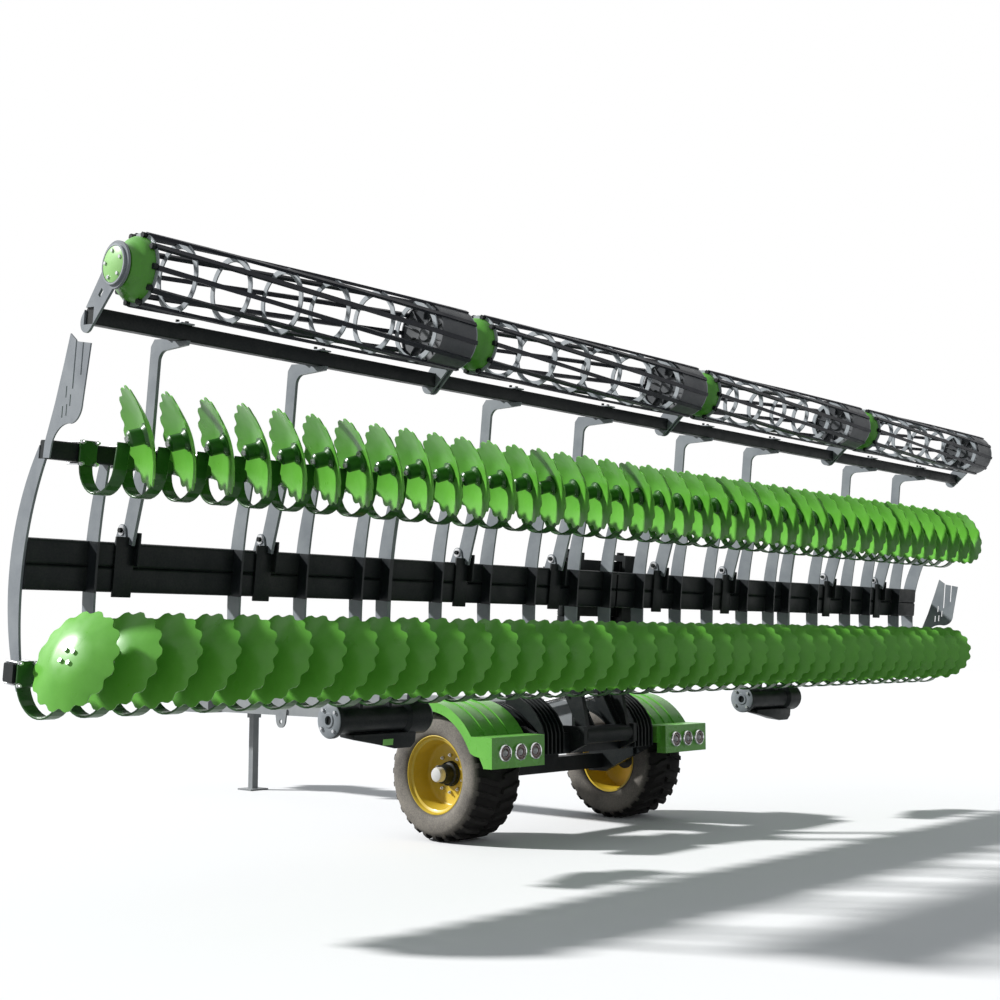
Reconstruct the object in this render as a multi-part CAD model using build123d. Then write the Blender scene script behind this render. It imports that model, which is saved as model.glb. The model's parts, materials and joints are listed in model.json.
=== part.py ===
"""Ten metre disc harrow with two disc rows and cage rollers, raised upright on its two wheel carriage.

Millimetres. X points to the machine's right, Y forward, Z up, the ground is Z = 0.
The working frame is drawn in its own frame space, where X is the same, Y is the
height above the soil side of the discs and Z runs from the front row to the rollers.
FRAME_PLACE then stands it up behind the axle, leaning back a little at the top.
"""
import os
from math import asin, cos, degrees, hypot, pi, radians, sin

from build123d import *

# Working frame as a whole
DISC_PITCH = 250
DISCS_PER_ROW = 40
FRAME_END = 40                # of the tubes past half a row of discs
FRAME_HALF = DISC_PITCH * DISCS_PER_ROW / 2 + FRAME_END
SPLIT_GAP = 20                # free gap between the two wings' inner ends
FRONT_ROW_HEIGHT = 1400       # ground to the front row's disc centres, raised
FRAME_LEAN = 5.86             # degrees that the raised frame leans back

# Discs
DISC_DIAMETER = 560
DISC_THICKNESS = 6
DISC_DISH = 62                # depth of the dish
DISC_FLAT = 95                # radius of the flat middle
NOTCHES = 16
NOTCH_DEPTH = 20
ROW_SPACING = 1176            # front row to rear row
FRONT_CUT, REAR_CUT = 15, 22  # degrees, a disc's turn against the travel direction
FRONT_LEAN, REAR_LEAN = 22.7, 17   # degrees, its lean out of the upright

# Hubs and spring arms
HUB_DIAMETER = 92
HUB_LENGTH = 108
SPRING_WIDTH = 80
SPRING_THICKNESS = 12
SPRING_SIDE = -110            # from a disc's centre to the loop's middle line
SPRING_TURN = 135             # radius of the loop
CLAMP_WIDTH = 104             # plate that clamps a spring on its toolbar
CLAMP_THICKNESS = 14

# Tubes
BAR = 100                     # square toolbars
BAR_WALL = 8
BAR_REAR = 310                # soil-side face of the toolbars above the disc centres
BAR_DROP = 100                # toolbar middle before its row's disc centres
BEAM = 140                    # each of the two stacked main tubes
BEAM_WALL = 10
BEAM_REAR = 470               # soil-side face of the main beam
BEAM_LOW = 325                # from the front row to the beam's lower face

# Arched ribs that tie toolbars and beam together
RIB_PROUD = 85                # stands out of the beam on the soil side
RIB_DEPTH = 122               # of the plate's band over the beam
RIB_END_DEPTH = 80            # of the band at the toolbars
RIB_THICKNESS = 14
HEAVY_RIB_THICKNESS = 30
HEAVY_RIBS = (-10, 9.72)      # stations that get the heavy plate
END_RIB_TAIL = 60             # an end rib reaches past the front toolbar
RIB_STATIONS = (-18.68, -14.8, -12.8, -10.96, -10, -8.08, -6.16, -4.24, -2.32, -0.72,
                0.96, 3, 4.84, 6.96, 8.68, 9.72, 11.72, 14.16, 15.72, 18.12)   # in disc pitches

# Cage rollers
ROLLER_DIAMETER = 400
ROLLER_GAP = 70               # between two rollers' ends
ROLLER_LENGTH = FRAME_HALF / 2 - ROLLER_GAP - 10
ROLLER_AXIS = (-94, 2030)     # frame height, frame length
ROLLER_BARS = 10
ROLLER_RINGS = 7
ROLLER_TWIST = 44             # degrees that the bars wind from end to end
BAR_WIDTH = 26                # of a roller's flat bar
BAR_HEIGHT = 18
RING_WIDTH = 36
RING_THICKNESS = 8
DRUM_LENGTH = 300
HUB_CAN_LENGTH = 110          # flared housing inside a roller's left end
HUB_CAN_RADIUS = 120
CAP_RADIUS = 105              # round cap on the outer face of each arm
ROLLER_SHIFT = 10             # of all rollers to the right
ROLLER_CENTRES = [place * (ROLLER_LENGTH + ROLLER_GAP) + ROLLER_SHIFT for place in (-1.5, -0.5, 0.5, 1.5)]
CARRIER = 90                  # square tube that carries the rollers
CARRIER_AXIS = (120, 1780)
STRUT_STATIONS = (-17.72, -13.84, -6.96, -2.94, 2.2, 6.16, 13, 16.96)   # in disc pitches from the middle
STRUT_X = [station * DISC_PITCH for station in STRUT_STATIONS]
ARM_THICKNESS = 14
ARM_HEAD = 125                # radius of a roller arm round the shaft
ARM_FOOT = 58                 # radius of its lower end
STRUT_THICKNESS = 20
STRUT_WIDTH = 85
STRUT_BEND = 60               # radius of the strut's bend under the carrier
ROLLER_SHAFT = 50

# Carriage
WHEEL_X = 1030
AXLE_Y = 1190
TYRE_DIAMETER = 1000
TYRE_WIDTH = 500
RIM_DIAMETER = 590
RIM_OUTSET = 205              # of the hub's end from the tyre's middle, outwards
HAND_HOLES = 8
TYRE_BELLY = 40               # steps of the sidewall past the bead
TYRE_FACETS = 64
STUB_DIAMETER = 90
PIN_GAP = 1                   # play of a shaft in its bore
FENDER_GAP = 45               # between the tyre and the fender
FENDER_INNER = TYRE_DIAMETER / 2 + FENDER_GAP
FENDER_X = WHEEL_X + 15
FENDER_THICKNESS = 10
FENDER_WIDTH = 570
SKIRT_DEPTH = 62              # of the fender's side edge below its skin
SKIRT_THICKNESS = 8
FENDER_RIBS = (-130, 0, 130)  # pressed ribs, from the fender's middle
FENDER_END = 125              # degrees about the axle from its rear
LIGHT_BOX_DEPTH = 90
LIGHT_BOX_REAR = AXLE_Y - FENDER_INNER - 125
LIGHT_BOX_LOW = 585
LIGHT_BOX_HEIGHT = 225
LAMP_DIAMETER = 128
LAMP_RIM = 10                 # width of a lamp's bezel
LAMP_PITCH = 165
AXLE_BEAM = 160               # square cross beam of the carriage
AXLE_BEAM_REAR = LIGHT_BOX_REAR + 120
AXLE_BEAM_LOW = 640
KNEE_X = WHEEL_X - TYRE_WIDTH / 2 - 80
KNEE_THICKNESS = 40
GUARD_RIBS = 5                # arched ribs on the guard beside each knee
GUARD_PITCH = 46
GUARD_DEPTH = 90
GUARD_INNER = 440             # radius about the axle of the guard's skin
GUARD_START, GUARD_END = 36, 108   # degrees about the axle from its rear

# Drawbar
DRAWBAR_WIDTH = 220
DRAWBAR_HEIGHT = 240
DRAWBAR_LOW = 790
DRAWBAR_FRONT = 5600
HEAD_LENGTH = 520             # hitch head ahead of the bar
HEAD_WIDTH = 400
EYE_BORE = 50
EYE_OUTER = 70                # radius of the eye's ring
EYE_Y = 6260
EYE_HEIGHT = 60
BRACKET_Y = 4500              # of the hose bracket on the bar's left side
STAND_Y = 5300
STAND_LEG = 70
STAND_SLEEVE = 100
STAND_PLAY = 0.5

# Tilting carrier between carriage and wings
TILT_Y = 560
TILT_Z = 780
TILT_PIN = 80
TILT_SLEEVE = 140
TILT_HALF = 280               # half width of the carrier's sleeve
FOLD_X = 330
FOLD_HEIGHT = 720             # of the fold pins above the disc centres
FOLD_PIN = 60
FOLD_LOW = 180                # hinge's ends along the frame
FOLD_HIGH = 740
LUG = 50                      # thickness of a hinge lug
LUG_RADIUS = 50

# Cylinders, each as its two pins; frame space for the fold, world for the tilt
TILT_ANCHOR = (1750, 860)
TILT_EYE = (735, 1083)
TILT_TIP = (757, 1121)        # end of the lever past its pin
TILT_CYLINDER_X = 175
FOLD_ANCHOR = (250, 1015)     # x on the far side, height
FOLD_EYE = (650, 690)
FOLD_LEVELS = {"left": 425, "right": 545}
BARREL_RADIUS = 45
ROD_RADIUS = 24
EYE_PIN = 30                  # pin of every cylinder eye
EYE_RADIUS = 36
EYE_WIDTH = 50
EYE_SLOT = 54                 # gap between the two plates that hold an eye
EYE_PLATE = 20
BARREL_SHARE = 0.58           # of the distance between the pins
EYE_NECK = 85                 # pin to the start of the barrel

# Housings under the wings and plates at the rows' ends
HOUSING_STATIONS = {"left": -10.1, "right": 8.6}   # in disc pitches from the middle
HOUSING_LENGTH = 850
HOUSING_RADIUS = 115
HOUSING_PLACE = (360, -435)   # frame height, frame length
SIDE_PLATE_THICKNESS = 8
SIDE_PLATE_FOOT = 1110        # along the frame, where the stem starts
SIDE_PLATES = {  # shift in height, shift along the frame, length of the stem, its flare
    "left": (0, 0, 80, 5),
    "right": (50, -950, 260, 60),
}
PRONG_SLOTS = ((105, 1390, 300, 12), (35, 1460, 300, 12), (190, 1240, 60, 10), (150, 1250, 60, 10),
               (120, 1300, 60, 10), (165, 1345, 60, 10))   # height, length along the frame, long, wide

FRAME_PLACE = Location((0, 0, FRONT_ROW_HEIGHT), (FRAME_LEAN, 0, 0))
SIDES = (("left", -1), ("right", 1))
parts = {}


def block(x, y, z):
    """A box from three (low, high) pairs."""
    size = [high - low for low, high in (x, y, z)]
    middle = [(low + high) / 2 for low, high in (x, y, z)]
    return Pos(*middle) * Box(*size)


def rod(start, end, radius):
    """A round bar between two points."""
    start, end = Vector(*start), Vector(*end)
    axis = end - start
    return extrude(Plane(start, z_dir=axis) * Circle(radius), axis.length)


def plate(points, x, thickness):
    """A flat plate across X, its outline given as (y, z) points, its middle at x."""
    outline = make_face(Polyline(*[(x - thickness / 2, y, z) for y, z in points], close=True))
    return extrude(outline, thickness, dir=(1, 0, 0))


def bar_between(start, end, width, x, thickness):
    """A straight plate across X between two (y, z) points."""
    dy, dz = end[0] - start[0], end[1] - start[1]
    length = hypot(dy, dz)
    oy, oz = -dz / length * width / 2, dy / length * width / 2
    corners = [(start[0] + oy, start[1] + oz), (end[0] + oy, end[1] + oz),
               (end[0] - oy, end[1] - oz), (start[0] - oy, start[1] - oz)]
    return plate(corners, x, thickness)


def arc_points(centre, radius, start, end):
    """Three points of an arc round a centre in the (y, z) plane, angles in degrees from -Y upwards."""
    angles = [radians(angle) for angle in (start, (start + end) / 2, end)]
    return [(centre[0] - radius * cos(angle), centre[1] + radius * sin(angle)) for angle in angles]


def shape_across(edges, x, thickness):
    """A flat plate across X from lines and arcs in the (y, z) plane, its middle at x."""
    return extrude(Plane.YZ.offset(x - thickness / 2) * make_face(edges), thickness, dir=(1, 0, 0))


def tube(x, y, z, wall):
    """A square tube along X from three (low, high) pairs."""
    inner = block((x[0] - 1, x[1] + 1), (y[0] + wall, y[1] - wall), (z[0] + wall, z[1] - wall))
    return block(x, y, z) - inner


def fused(pieces):
    """One solid out of pieces that touch."""
    pieces = list(pieces)
    return pieces[0].fuse(*pieces[1:])


def lined_up(pieces):
    """Solids that don't touch, kept together as one piece."""
    return Compound([solid for piece in pieces for solid in piece.solids()])


def notched_disc():
    """One dished disc about its own axis, rim at Z = 0, dish towards -Z, as flat facets."""
    rim = []
    for i in range(2 * NOTCHES):
        radius = DISC_DIAMETER / 2 - (NOTCH_DEPTH if i % 2 else 0)
        angle = pi * i / NOTCHES
        slope = (radius - DISC_FLAT) / (DISC_DIAMETER / 2 - DISC_FLAT)
        rim.append((radius * cos(angle), radius * sin(angle), DISC_DISH * (slope - 1)))
    flat = []
    for i in range(8):
        angle = pi * i / 4
        flat.append((DISC_FLAT * cos(angle), DISC_FLAT * sin(angle), -DISC_DISH))

    def lifted(point):
        return (point[0], point[1], point[2] + DISC_THICKNESS)

    faces = [Face(Wire.make_polygon(flat)), Face(Wire.make_polygon([lifted(p) for p in flat]))]
    steps = len(rim) // len(flat)
    for i, corner in enumerate(rim):
        following = rim[(i + 1) % len(rim)]
        inner = flat[(i + steps // 2) // steps % len(flat)]
        patches = [(corner, following, inner)]
        if (i + steps // 2 + 1) % steps == 0:
            patches.append((following, flat[((i + steps // 2) // steps + 1) % len(flat)], inner))
        for patch in patches:
            faces.append(Face(Wire.make_polygon(patch)))
            faces.append(Face(Wire.make_polygon([lifted(p) for p in patch])))
        faces.append(Face(Wire.make_polygon([corner, following, lifted(following), lifted(corner)])))
    return Solid(Shell(faces))


def disc_axis(mirror):
    """Direction from a disc's dish to its open side, in frame space."""
    cut = radians(FRONT_CUT if mirror > 0 else REAR_CUT)
    under = radians(FRONT_LEAN if mirror > 0 else REAR_LEAN)
    world = Vector(mirror * cos(under) * cos(cut), cos(under) * sin(cut), -sin(under))
    return world.rotate(Axis.X, -FRAME_LEAN)


FIRST_DISC = -DISC_PITCH * (DISCS_PER_ROW - 1) / 2
ROWS = (  # first disc's x, place along the frame, side a disc opens to, toolbar's reach past the left end
    (FIRST_DISC - 100, 0, 1, 110),
    (FIRST_DISC + 150, ROW_SPACING, -1, 10),
)


def disc_unit(disc, x, length, mirror):
    """Disc, hub and spring arm of one place in a row."""
    axis = disc_axis(mirror)
    centre = Vector(x, 0, length)
    blade = Plane(centre, x_dir=(0, 1, 0), z_dir=axis).location * disc
    seat = centre - axis * (DISC_DISH - DISC_THICKNESS)
    end = seat + axis * HUB_LENGTH
    hub = extrude(Plane(seat, z_dir=axis) * RegularPolygon(HUB_DIAMETER / 2, 8), HUB_LENGTH)

    start_y = BAR_REAR - SPRING_THICKNESS / 2
    turn_z = length - BAR_DROP - BAR / 2 - 30
    turn_y = start_y - SPRING_TURN
    side = x + SPRING_SIDE
    stations = [(start_y, length - BAR_DROP + BAR / 2, 0, 90), (start_y, turn_z, 0, 90)]
    for step in (1, 2, 3, 4):
        angle = step * 45
        stations.append((turn_y + SPRING_TURN * cos(radians(angle)),
                         turn_z - SPRING_TURN * sin(radians(angle)), step / 6, 90 - angle))
    stations.append((end.Y + HUB_DIAMETER * 0.35, end.Z - HUB_DIAMETER * 0.2, 1, -90))
    sections = []
    for y, z, share, lie in stations:
        place = Plane((side + share * (end.X - side), y, z), x_dir=(1, 0, 0),
                      z_dir=(0, -cos(radians(lie)), -sin(radians(lie))))
        sections.append(place * Rectangle(SPRING_WIDTH, SPRING_THICKNESS))
    spring = loft(sections, ruled=True)
    face, bar = BAR_REAR - SPRING_THICKNESS, length - BAR_DROP
    clamp = block((side - CLAMP_WIDTH / 2, side + CLAMP_WIDTH / 2), (face - CLAMP_THICKNESS, face),
                  (bar - BAR / 2, bar + BAR / 2))
    return blade, fused([hub, spring, clamp])


def rib_band(low, high, x, thickness):
    """Arched band across X between two ends given as (inner height, outer height, length)."""
    middle = (low[2] + high[2]) / 2
    peak = BEAM_REAR - RIB_PROUD
    inner = ThreePointArc((low[0], low[2]), (peak, middle), (high[0], high[2]))
    outer = ThreePointArc((low[1], low[2]), (peak + RIB_DEPTH, middle), (high[1], high[2]))
    return shape_across([inner, outer, Line(inner @ 0, outer @ 0), Line(inner @ 1, outer @ 1)], x, thickness)


def without_tubes(solid, across):
    """A rib with the seats of the toolbars and the main beam cut out."""
    for _, length, _, _ in ROWS:
        bar_low = length - BAR_DROP - BAR / 2
        solid -= block(across, (BAR_REAR, BAR_REAR + BAR), (bar_low, bar_low + BAR))
    return solid - block(across, (BEAM_REAR, BEAM_REAR + BEAM), (BEAM_LOW, BEAM_LOW + 2 * BEAM))


def rib(station):
    """Arched plate between the toolbars that the main beam is let into."""
    thickness = HEAVY_RIB_THICKNESS if station in HEAVY_RIBS else RIB_THICKNESS
    x = station * DISC_PITCH
    start, outer = BAR_REAR + BAR * 0.15, BAR_REAR + BAR * 0.15 + RIB_END_DEPTH
    low = (start, outer, -BAR_DROP - BAR / 2)
    high = (start, outer, ROW_SPACING - BAR_DROP + BAR / 2)
    return without_tubes(rib_band(low, high, x, thickness), (x - thickness, x + thickness))


def end_rib(sign):
    """Wider arched plate that closes the ends of the tubes, with a tail past the front toolbar."""
    x = sign * (FRAME_HALF + RIB_THICKNESS / 2)
    low, high = -BAR_DROP - BAR / 2 - END_RIB_TAIL, ROW_SPACING - BAR_DROP + BAR / 2
    arcs = []
    for start, peak, end in ((0.65, BEAM_REAR + 20, -0.2), (1.3, BEAM_REAR + BEAM + 10, 0.8)):
        arcs.append(ThreePointArc((BAR_REAR + BAR * start, low), (peak, BEAM_LOW + BEAM / 2),
                                  (BAR_REAR + BAR * end, high)))
    inner, outer = arcs
    web = shape_across([inner, outer, Line(inner @ 0, outer @ 0), Line(inner @ 1, outer @ 1)], x,
                       RIB_THICKNESS)
    if sign > 0:
        return web
    for _, length, _, _ in ROWS:
        bar_low = length - BAR_DROP - BAR / 2
        web -= block((x - BAR, x + BAR), (BAR_REAR, BAR_REAR + BAR), (bar_low, bar_low + BAR))
    return web


def side_plate(side, sign):
    """Three-pronged steel plate beside the last disc of a row, bolted to the end rib by its stem."""
    shift_y, shift_z, stem, flare = SIDE_PLATES[side]
    x = sign * (FRAME_HALF + RIB_THICKNESS + SIDE_PLATE_THICKNESS / 2)
    foot = SIDE_PLATE_FOOT
    outline = [(172, 1680), (212, 1527), (271, 1319), (345, foot), (345 + flare, foot - stem),
               (285, foot - stem), (272, foot)]
    top = [(0, 1315), (-35, 1621), (97, 1635), (172, 1680)]
    edges = [Line(start, end) for start, end in zip(outline, outline[1:])]
    edges += [Line(start, end) for start, end in zip(top, top[1:])]
    edges.append(ThreePointArc((272, foot), (215, 1180), (100, 1209)))
    edges.append(ThreePointArc((100, 1209), (25, 1245), (0, 1315)))
    sheet = shape_across(edges, x, SIDE_PLATE_THICKNESS)
    for y, z, long, wide in PRONG_SLOTS:
        sheet -= block((x - BAR, x + BAR), (y - wide / 2, y + wide / 2), (z, z + long))
    return Pos(0, shift_y, shift_z) * sheet


def cylinder_parts(anchor, eye, pin, closed):
    """Barrel and ram between two pins given as 3-D points; pin is the pins' direction."""
    start, end = Vector(*anchor), Vector(*eye)
    pin = Vector(*pin)
    reach = (end - start).length
    way = (end - start).normalized()
    mouth = reach * BARREL_SHARE
    bottom = EYE_NECK + 20
    inner_end = bottom + 15 if closed else mouth - 80

    def along(distance):
        return start + way * distance

    def ring(centre):
        return extrude(Plane(centre - pin * (EYE_WIDTH / 2), z_dir=pin) * Circle(EYE_RADIUS), EYE_WIDTH)

    barrel = fused([rod(along(EYE_NECK), along(mouth), BARREL_RADIUS),
                    rod(along(0), along(bottom), ROD_RADIUS), ring(start)])
    barrel -= rod(start - pin * EYE_WIDTH, start + pin * EYE_WIDTH, EYE_PIN / 2 + PIN_GAP)
    barrel -= rod(along(bottom), along(mouth - 40), ROD_RADIUS + 8)
    barrel -= rod(along(bottom), along(mouth + 10), ROD_RADIUS + PIN_GAP)
    ram = fused([rod(along(inner_end), end, ROD_RADIUS), ring(end)])
    return barrel, ram


def eye_plates(centre, pin, box):
    """Two plates either side of a cylinder's eye, with the pin's heads on their outer faces."""
    centre, pin = Vector(*centre), Vector(*pin)
    pieces = []
    for way in (-1, 1):
        inner, outer = sorted((way * EYE_SLOT / 2, way * (EYE_SLOT / 2 + EYE_PLATE)))
        pieces.append(box(inner, outer))
        head = centre + pin * way * (EYE_SLOT / 2 + EYE_PLATE)
        pieces.append(rod(head, head + pin * way * 12, EYE_PIN * 0.7))
    return pieces


def fold_hinge(side, sign):
    """Wing's half of its fold hinge: a back plate on the beam with two bored lugs, and the eye bracket."""
    x = sign * FOLD_X
    front = BEAM_REAR + BEAM
    pieces = [block((x - 70, x + 70), (front, front + 30), (FOLD_LOW, FOLD_HIGH))]
    for low in (FOLD_LOW, FOLD_HIGH - LUG):
        pieces.append(block((x - LUG_RADIUS, x + LUG_RADIUS), (front, FOLD_HEIGHT), (low, low + LUG)))
        pieces.append(Pos(x, FOLD_HEIGHT, low + LUG / 2) * Cylinder(LUG_RADIUS, LUG))
    hinge = fused(pieces)
    hinge -= Pos(x, FOLD_HEIGHT, (FOLD_LOW + FOLD_HIGH) / 2) * Cylinder(FOLD_PIN / 2 + PIN_GAP, 2 * FOLD_HIGH)
    eye_x, eye_height = sign * FOLD_EYE[0], FOLD_EYE[1]
    level = FOLD_LEVELS[side]
    plates = eye_plates((eye_x, eye_height, level), (0, 0, 1),
                        lambda low, high: block((eye_x - 40, eye_x + 40), (front, eye_height + 35),
                                                (level + low, level + high)))
    foot = block((eye_x - 55, eye_x + 55), (front, front + 12), (level - 60, level + 60))
    return [hinge, fused(plates + [foot])]


def wheel_housing(side):
    """Transverse housing under the wing: a flange at its left end, a drum with a rounded end at its right."""
    x = HOUSING_STATIONS[side] * DISC_PITCH
    y, z = HOUSING_PLACE
    left, right = x - HOUSING_LENGTH / 2, x + HOUSING_LENGTH / 2
    neck, large = HOUSING_RADIUS * 0.78, HOUSING_RADIUS
    outline = [(right, large * 0.25), (right, 0), (left, 0), (left, large), (left + 25, large),
               (left + 25, neck), (right - 260, neck), (right - 230, large), (right - 60, large)]
    edges = [Line(start, end) for start, end in zip(outline, outline[1:])]
    edges.append(ThreePointArc((right - 60, large), (right - 18, large * 0.7), (right, large * 0.25)))
    pieces = [Pos(0, y, z) * revolve(make_face(edges), Axis.X)]
    for at in (x - 210, x + 40, x + 290):
        pieces.append(block((at - 12, at + 12), (BAR_REAR, BAR_REAR + BAR), (z, -BAR_DROP - BAR / 2)))
    return fused(pieces) - rod((left + 30, y, z), (right - 30, y, z), large * 0.6)


def strut(x):
    """Goose-necked plate from the rear toolbar up and round under the roller carrier."""
    low = ROW_SPACING - BAR_DROP
    carrier_y, carrier_z = CARRIER_AXIS
    under = carrier_z - CARRIER / 2
    right = BAR_REAR + BAR * 0.85
    left = right - STRUT_WIDTH
    bend = under - 45
    edges = [Line((right, low), (right, under - 20)), Line((right, under - 20), (right - 30, under + 20)),
             Line((right - 30, under + 20), (carrier_y + CARRIER / 2, under + 20)),
             Line((carrier_y + CARRIER / 2, under + 20), (carrier_y + CARRIER / 2, under)),
             Line((carrier_y + CARRIER / 2, under), (carrier_y - CARRIER * 0.9, under)),
             Line((carrier_y - CARRIER * 0.9, under), (carrier_y - CARRIER * 0.8, under - 25)),
             Line((carrier_y - CARRIER * 0.8, under - 25), (left - STRUT_BEND, bend)),
             ThreePointArc((left - STRUT_BEND, bend), (left - STRUT_BEND * 0.29, bend - STRUT_BEND * 0.29),
                           (left, bend - STRUT_BEND)),
             Line((left, bend - STRUT_BEND), (left, low)), Line((left, low), (right, low))]
    return shape_across(edges, x, STRUT_THICKNESS)


def brace(x):
    """Slanting brace from the rear toolbar to its rounded lug on the main beam."""
    top = BEAM_LOW + 2 * BEAM
    y = BEAM_REAR + BEAM * 0.4
    bar = bar_between((BAR_REAR + BAR * 0.7, ROW_SPACING - BAR_DROP), (BEAM_REAR + 10, top), 2 * ARM_FOOT, x,
                      STRUT_THICKNESS)
    lug = shape_across([Line((y - 38, top + 70), (y - 60, top)), Line((y - 60, top), (y + 60, top)),
                        Line((y + 60, top), (y + 38, top + 70)),
                        ThreePointArc((y + 38, top + 70), (y, top + 105), (y - 38, top + 70))],
                       x, 2 * STRUT_THICKNESS)
    return fused([bar, lug]) - block((x - BAR, x + BAR), (BEAM_REAR, BEAM_REAR + BEAM), (0, top))


def roller_arm(x, way):
    """Pear-shaped arm from the carrier to a roller's shaft, with a slot and a round cap on its outer face."""
    roller_y, roller_z = ROLLER_AXIS
    carrier_y, carrier_z = CARRIER_AXIS
    foot = (carrier_y + 20, carrier_z - 30)
    reach_y, reach_z = foot[0] - roller_y, foot[1] - roller_z
    length = hypot(reach_y, reach_z)
    along = (reach_y / length, reach_z / length)
    side = (-along[1], along[0])

    def at(distance, offset):
        return (roller_y + along[0] * distance + side[0] * offset,
                roller_z + along[1] * distance + side[1] * offset)

    neck, half = ARM_HEAD * 0.8, ARM_HEAD * 0.6
    edges = [ThreePointArc(at(neck, half), at(-ARM_HEAD, 0), at(neck, -half)),
             Line(at(neck, -half), at(length, -ARM_FOOT)),
             ThreePointArc(at(length, -ARM_FOOT), at(length + ARM_FOOT, 0), at(length, ARM_FOOT)),
             Line(at(length, ARM_FOOT), at(neck, half))]
    arm = shape_across(edges, x, ARM_THICKNESS)
    arm += rod((x, roller_y, roller_z), (x + way * (ARM_THICKNESS / 2 + 8), roller_y, roller_z), CAP_RADIUS)
    slot_start, slot_end = at(ARM_HEAD * 1.25, 0), at(ARM_HEAD * 1.6, 0)
    arm -= bar_between(slot_start, slot_end, 26, x, 2 * ARM_THICKNESS)
    return arm - rod((x - way * 50, roller_y, roller_z), (x + way * (ARM_THICKNESS / 2), roller_y, roller_z),
                     ROLLER_SHAFT / 2 + PIN_GAP)


def wing(side, sign):
    """All pieces of one wing, by name, in frame space."""
    inner, outer = SPLIT_GAP / 2, FRAME_HALF
    span = (inner, outer) if sign > 0 else (-outer, -inner)
    disc = notched_disc()
    discs, springs = [], []
    for first_x, length, mirror, _ in ROWS:
        for number in range(DISCS_PER_ROW):
            x = first_x + number * DISC_PITCH
            if (x + SPRING_SIDE) * sign > 0:
                blade, spring = disc_unit(disc, x, length, mirror)
                discs.append(blade)
                springs.append(spring)

    bars = []
    for _, length, _, past in ROWS:
        low = length - BAR_DROP - BAR / 2
        reach = (inner, outer) if sign > 0 else (-outer - past, -inner)
        bars.append(tube(reach, (BAR_REAR, BAR_REAR + BAR), (low, low + BAR), BAR_WALL))
    beam = fused([tube(span, (BEAM_REAR, BEAM_REAR + BEAM), (BEAM_LOW + i * BEAM, BEAM_LOW + (i + 1) * BEAM),
                       BEAM_WALL) for i in range(2)])
    ribs = [rib(station) for station in RIB_STATIONS if station * sign > 0]
    ribs.append(end_rib(sign))

    roller_y, roller_z = ROLLER_AXIS
    carrier_y, carrier_z = CARRIER_AXIS
    carrier = tube(span, (carrier_y - CARRIER / 2, carrier_y + CARRIER / 2),
                   (carrier_z - CARRIER / 2, carrier_z + CARRIER / 2), BAR_WALL)
    keep_out = block(span, (BAR_REAR, BAR_REAR + BAR),
                     (ROW_SPACING - BAR_DROP - BAR / 2, ROW_SPACING - BAR_DROP + BAR / 2))
    tube_place = block(span, (carrier_y - CARRIER / 2, carrier_y + CARRIER / 2),
                       (carrier_z - CARRIER / 2, carrier_z + CARRIER / 2))
    struts = []
    for x in STRUT_X:
        if span[0] < x < span[1]:
            struts += [strut(x) - keep_out - tube_place, brace(x) - keep_out]
    arms = []
    for centre in ROLLER_CENTRES:
        if span[0] < centre < span[1]:
            for way in (-1, 1):
                arms.append(roller_arm(centre + way * (ROLLER_LENGTH / 2 + 15), way) - tube_place)
    pieces = {
        f"discs_{side}": discs,
        f"spring_arms_{side}": springs,
        f"toolbars_{side}": bars,
        f"main_beam_{side}": [beam],
        f"fold_hinge_{side}": fold_hinge(side, sign),
        f"ribs_{side}": ribs,
        f"roller_carrier_{side}": [carrier],
        f"roller_struts_{side}": struts,
        f"roller_arms_{side}": arms,
        f"housing_{side}": [wheel_housing(side)],
        f"side_plate_{side}": [side_plate(side, sign)],
    }
    return {name: lined_up(FRAME_PLACE * solid for solid in solids) for name, solids in pieces.items()}


def roller_bar(start, angle):
    """One flat bar of a roller, wound a little round the axis."""
    sections = []
    for share in (0, 0.5, 1):
        turn = angle + share * ROLLER_TWIST
        radius = ROLLER_DIAMETER / 2 - BAR_HEIGHT / 2
        place = Plane((start + share * ROLLER_LENGTH, 0, 0), x_dir=(0, 1, 0), z_dir=(1, 0, 0))
        sections.append(place * Rot(0, 0, turn) * Pos(radius, 0) * Rectangle(BAR_HEIGHT, BAR_WIDTH))
    return loft(sections, ruled=True)


def cage_roller():
    """Open roller of wound bars on flat rings, with a drum at its right end and a flared can at its left."""
    seat = ROLLER_DIAMETER / 2 - BAR_HEIGHT / 2
    start, end = -ROLLER_LENGTH / 2, ROLLER_LENGTH / 2
    pieces = []
    for i in range(ROLLER_RINGS + 1):
        x = start + i * (ROLLER_LENGTH - RING_THICKNESS) / ROLLER_RINGS
        ring = Circle(seat)
        if i not in (0, ROLLER_RINGS):
            ring -= Circle(seat - RING_WIDTH)
        pieces.append(extrude(Plane.YZ.offset(x) * ring, RING_THICKNESS))
    for i in range(ROLLER_BARS):
        pieces.append(roller_bar(start, 360 / ROLLER_BARS * i))
    drum = Circle(seat) - Circle(seat - RING_THICKNESS)
    pieces.append(extrude(Plane.YZ.offset(end - DRUM_LENGTH) * drum, DRUM_LENGTH - RING_THICKNESS / 2))
    can = make_face(Polyline((start + RING_THICKNESS / 2, 0), (start + RING_THICKNESS / 2, seat - 20),
                             (start + 30, seat - 20), (start + HUB_CAN_LENGTH, HUB_CAN_RADIUS),
                             (start + HUB_CAN_LENGTH, 0), close=True))
    pieces.append(revolve(can, Axis.X))
    for way, tip in ((-1, start), (1, end)):
        pieces.append(rod((tip - way * 4, 0, 0), (tip + way * 20, 0, 0), ROLLER_SHAFT / 2))
    return fused(pieces)


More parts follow.
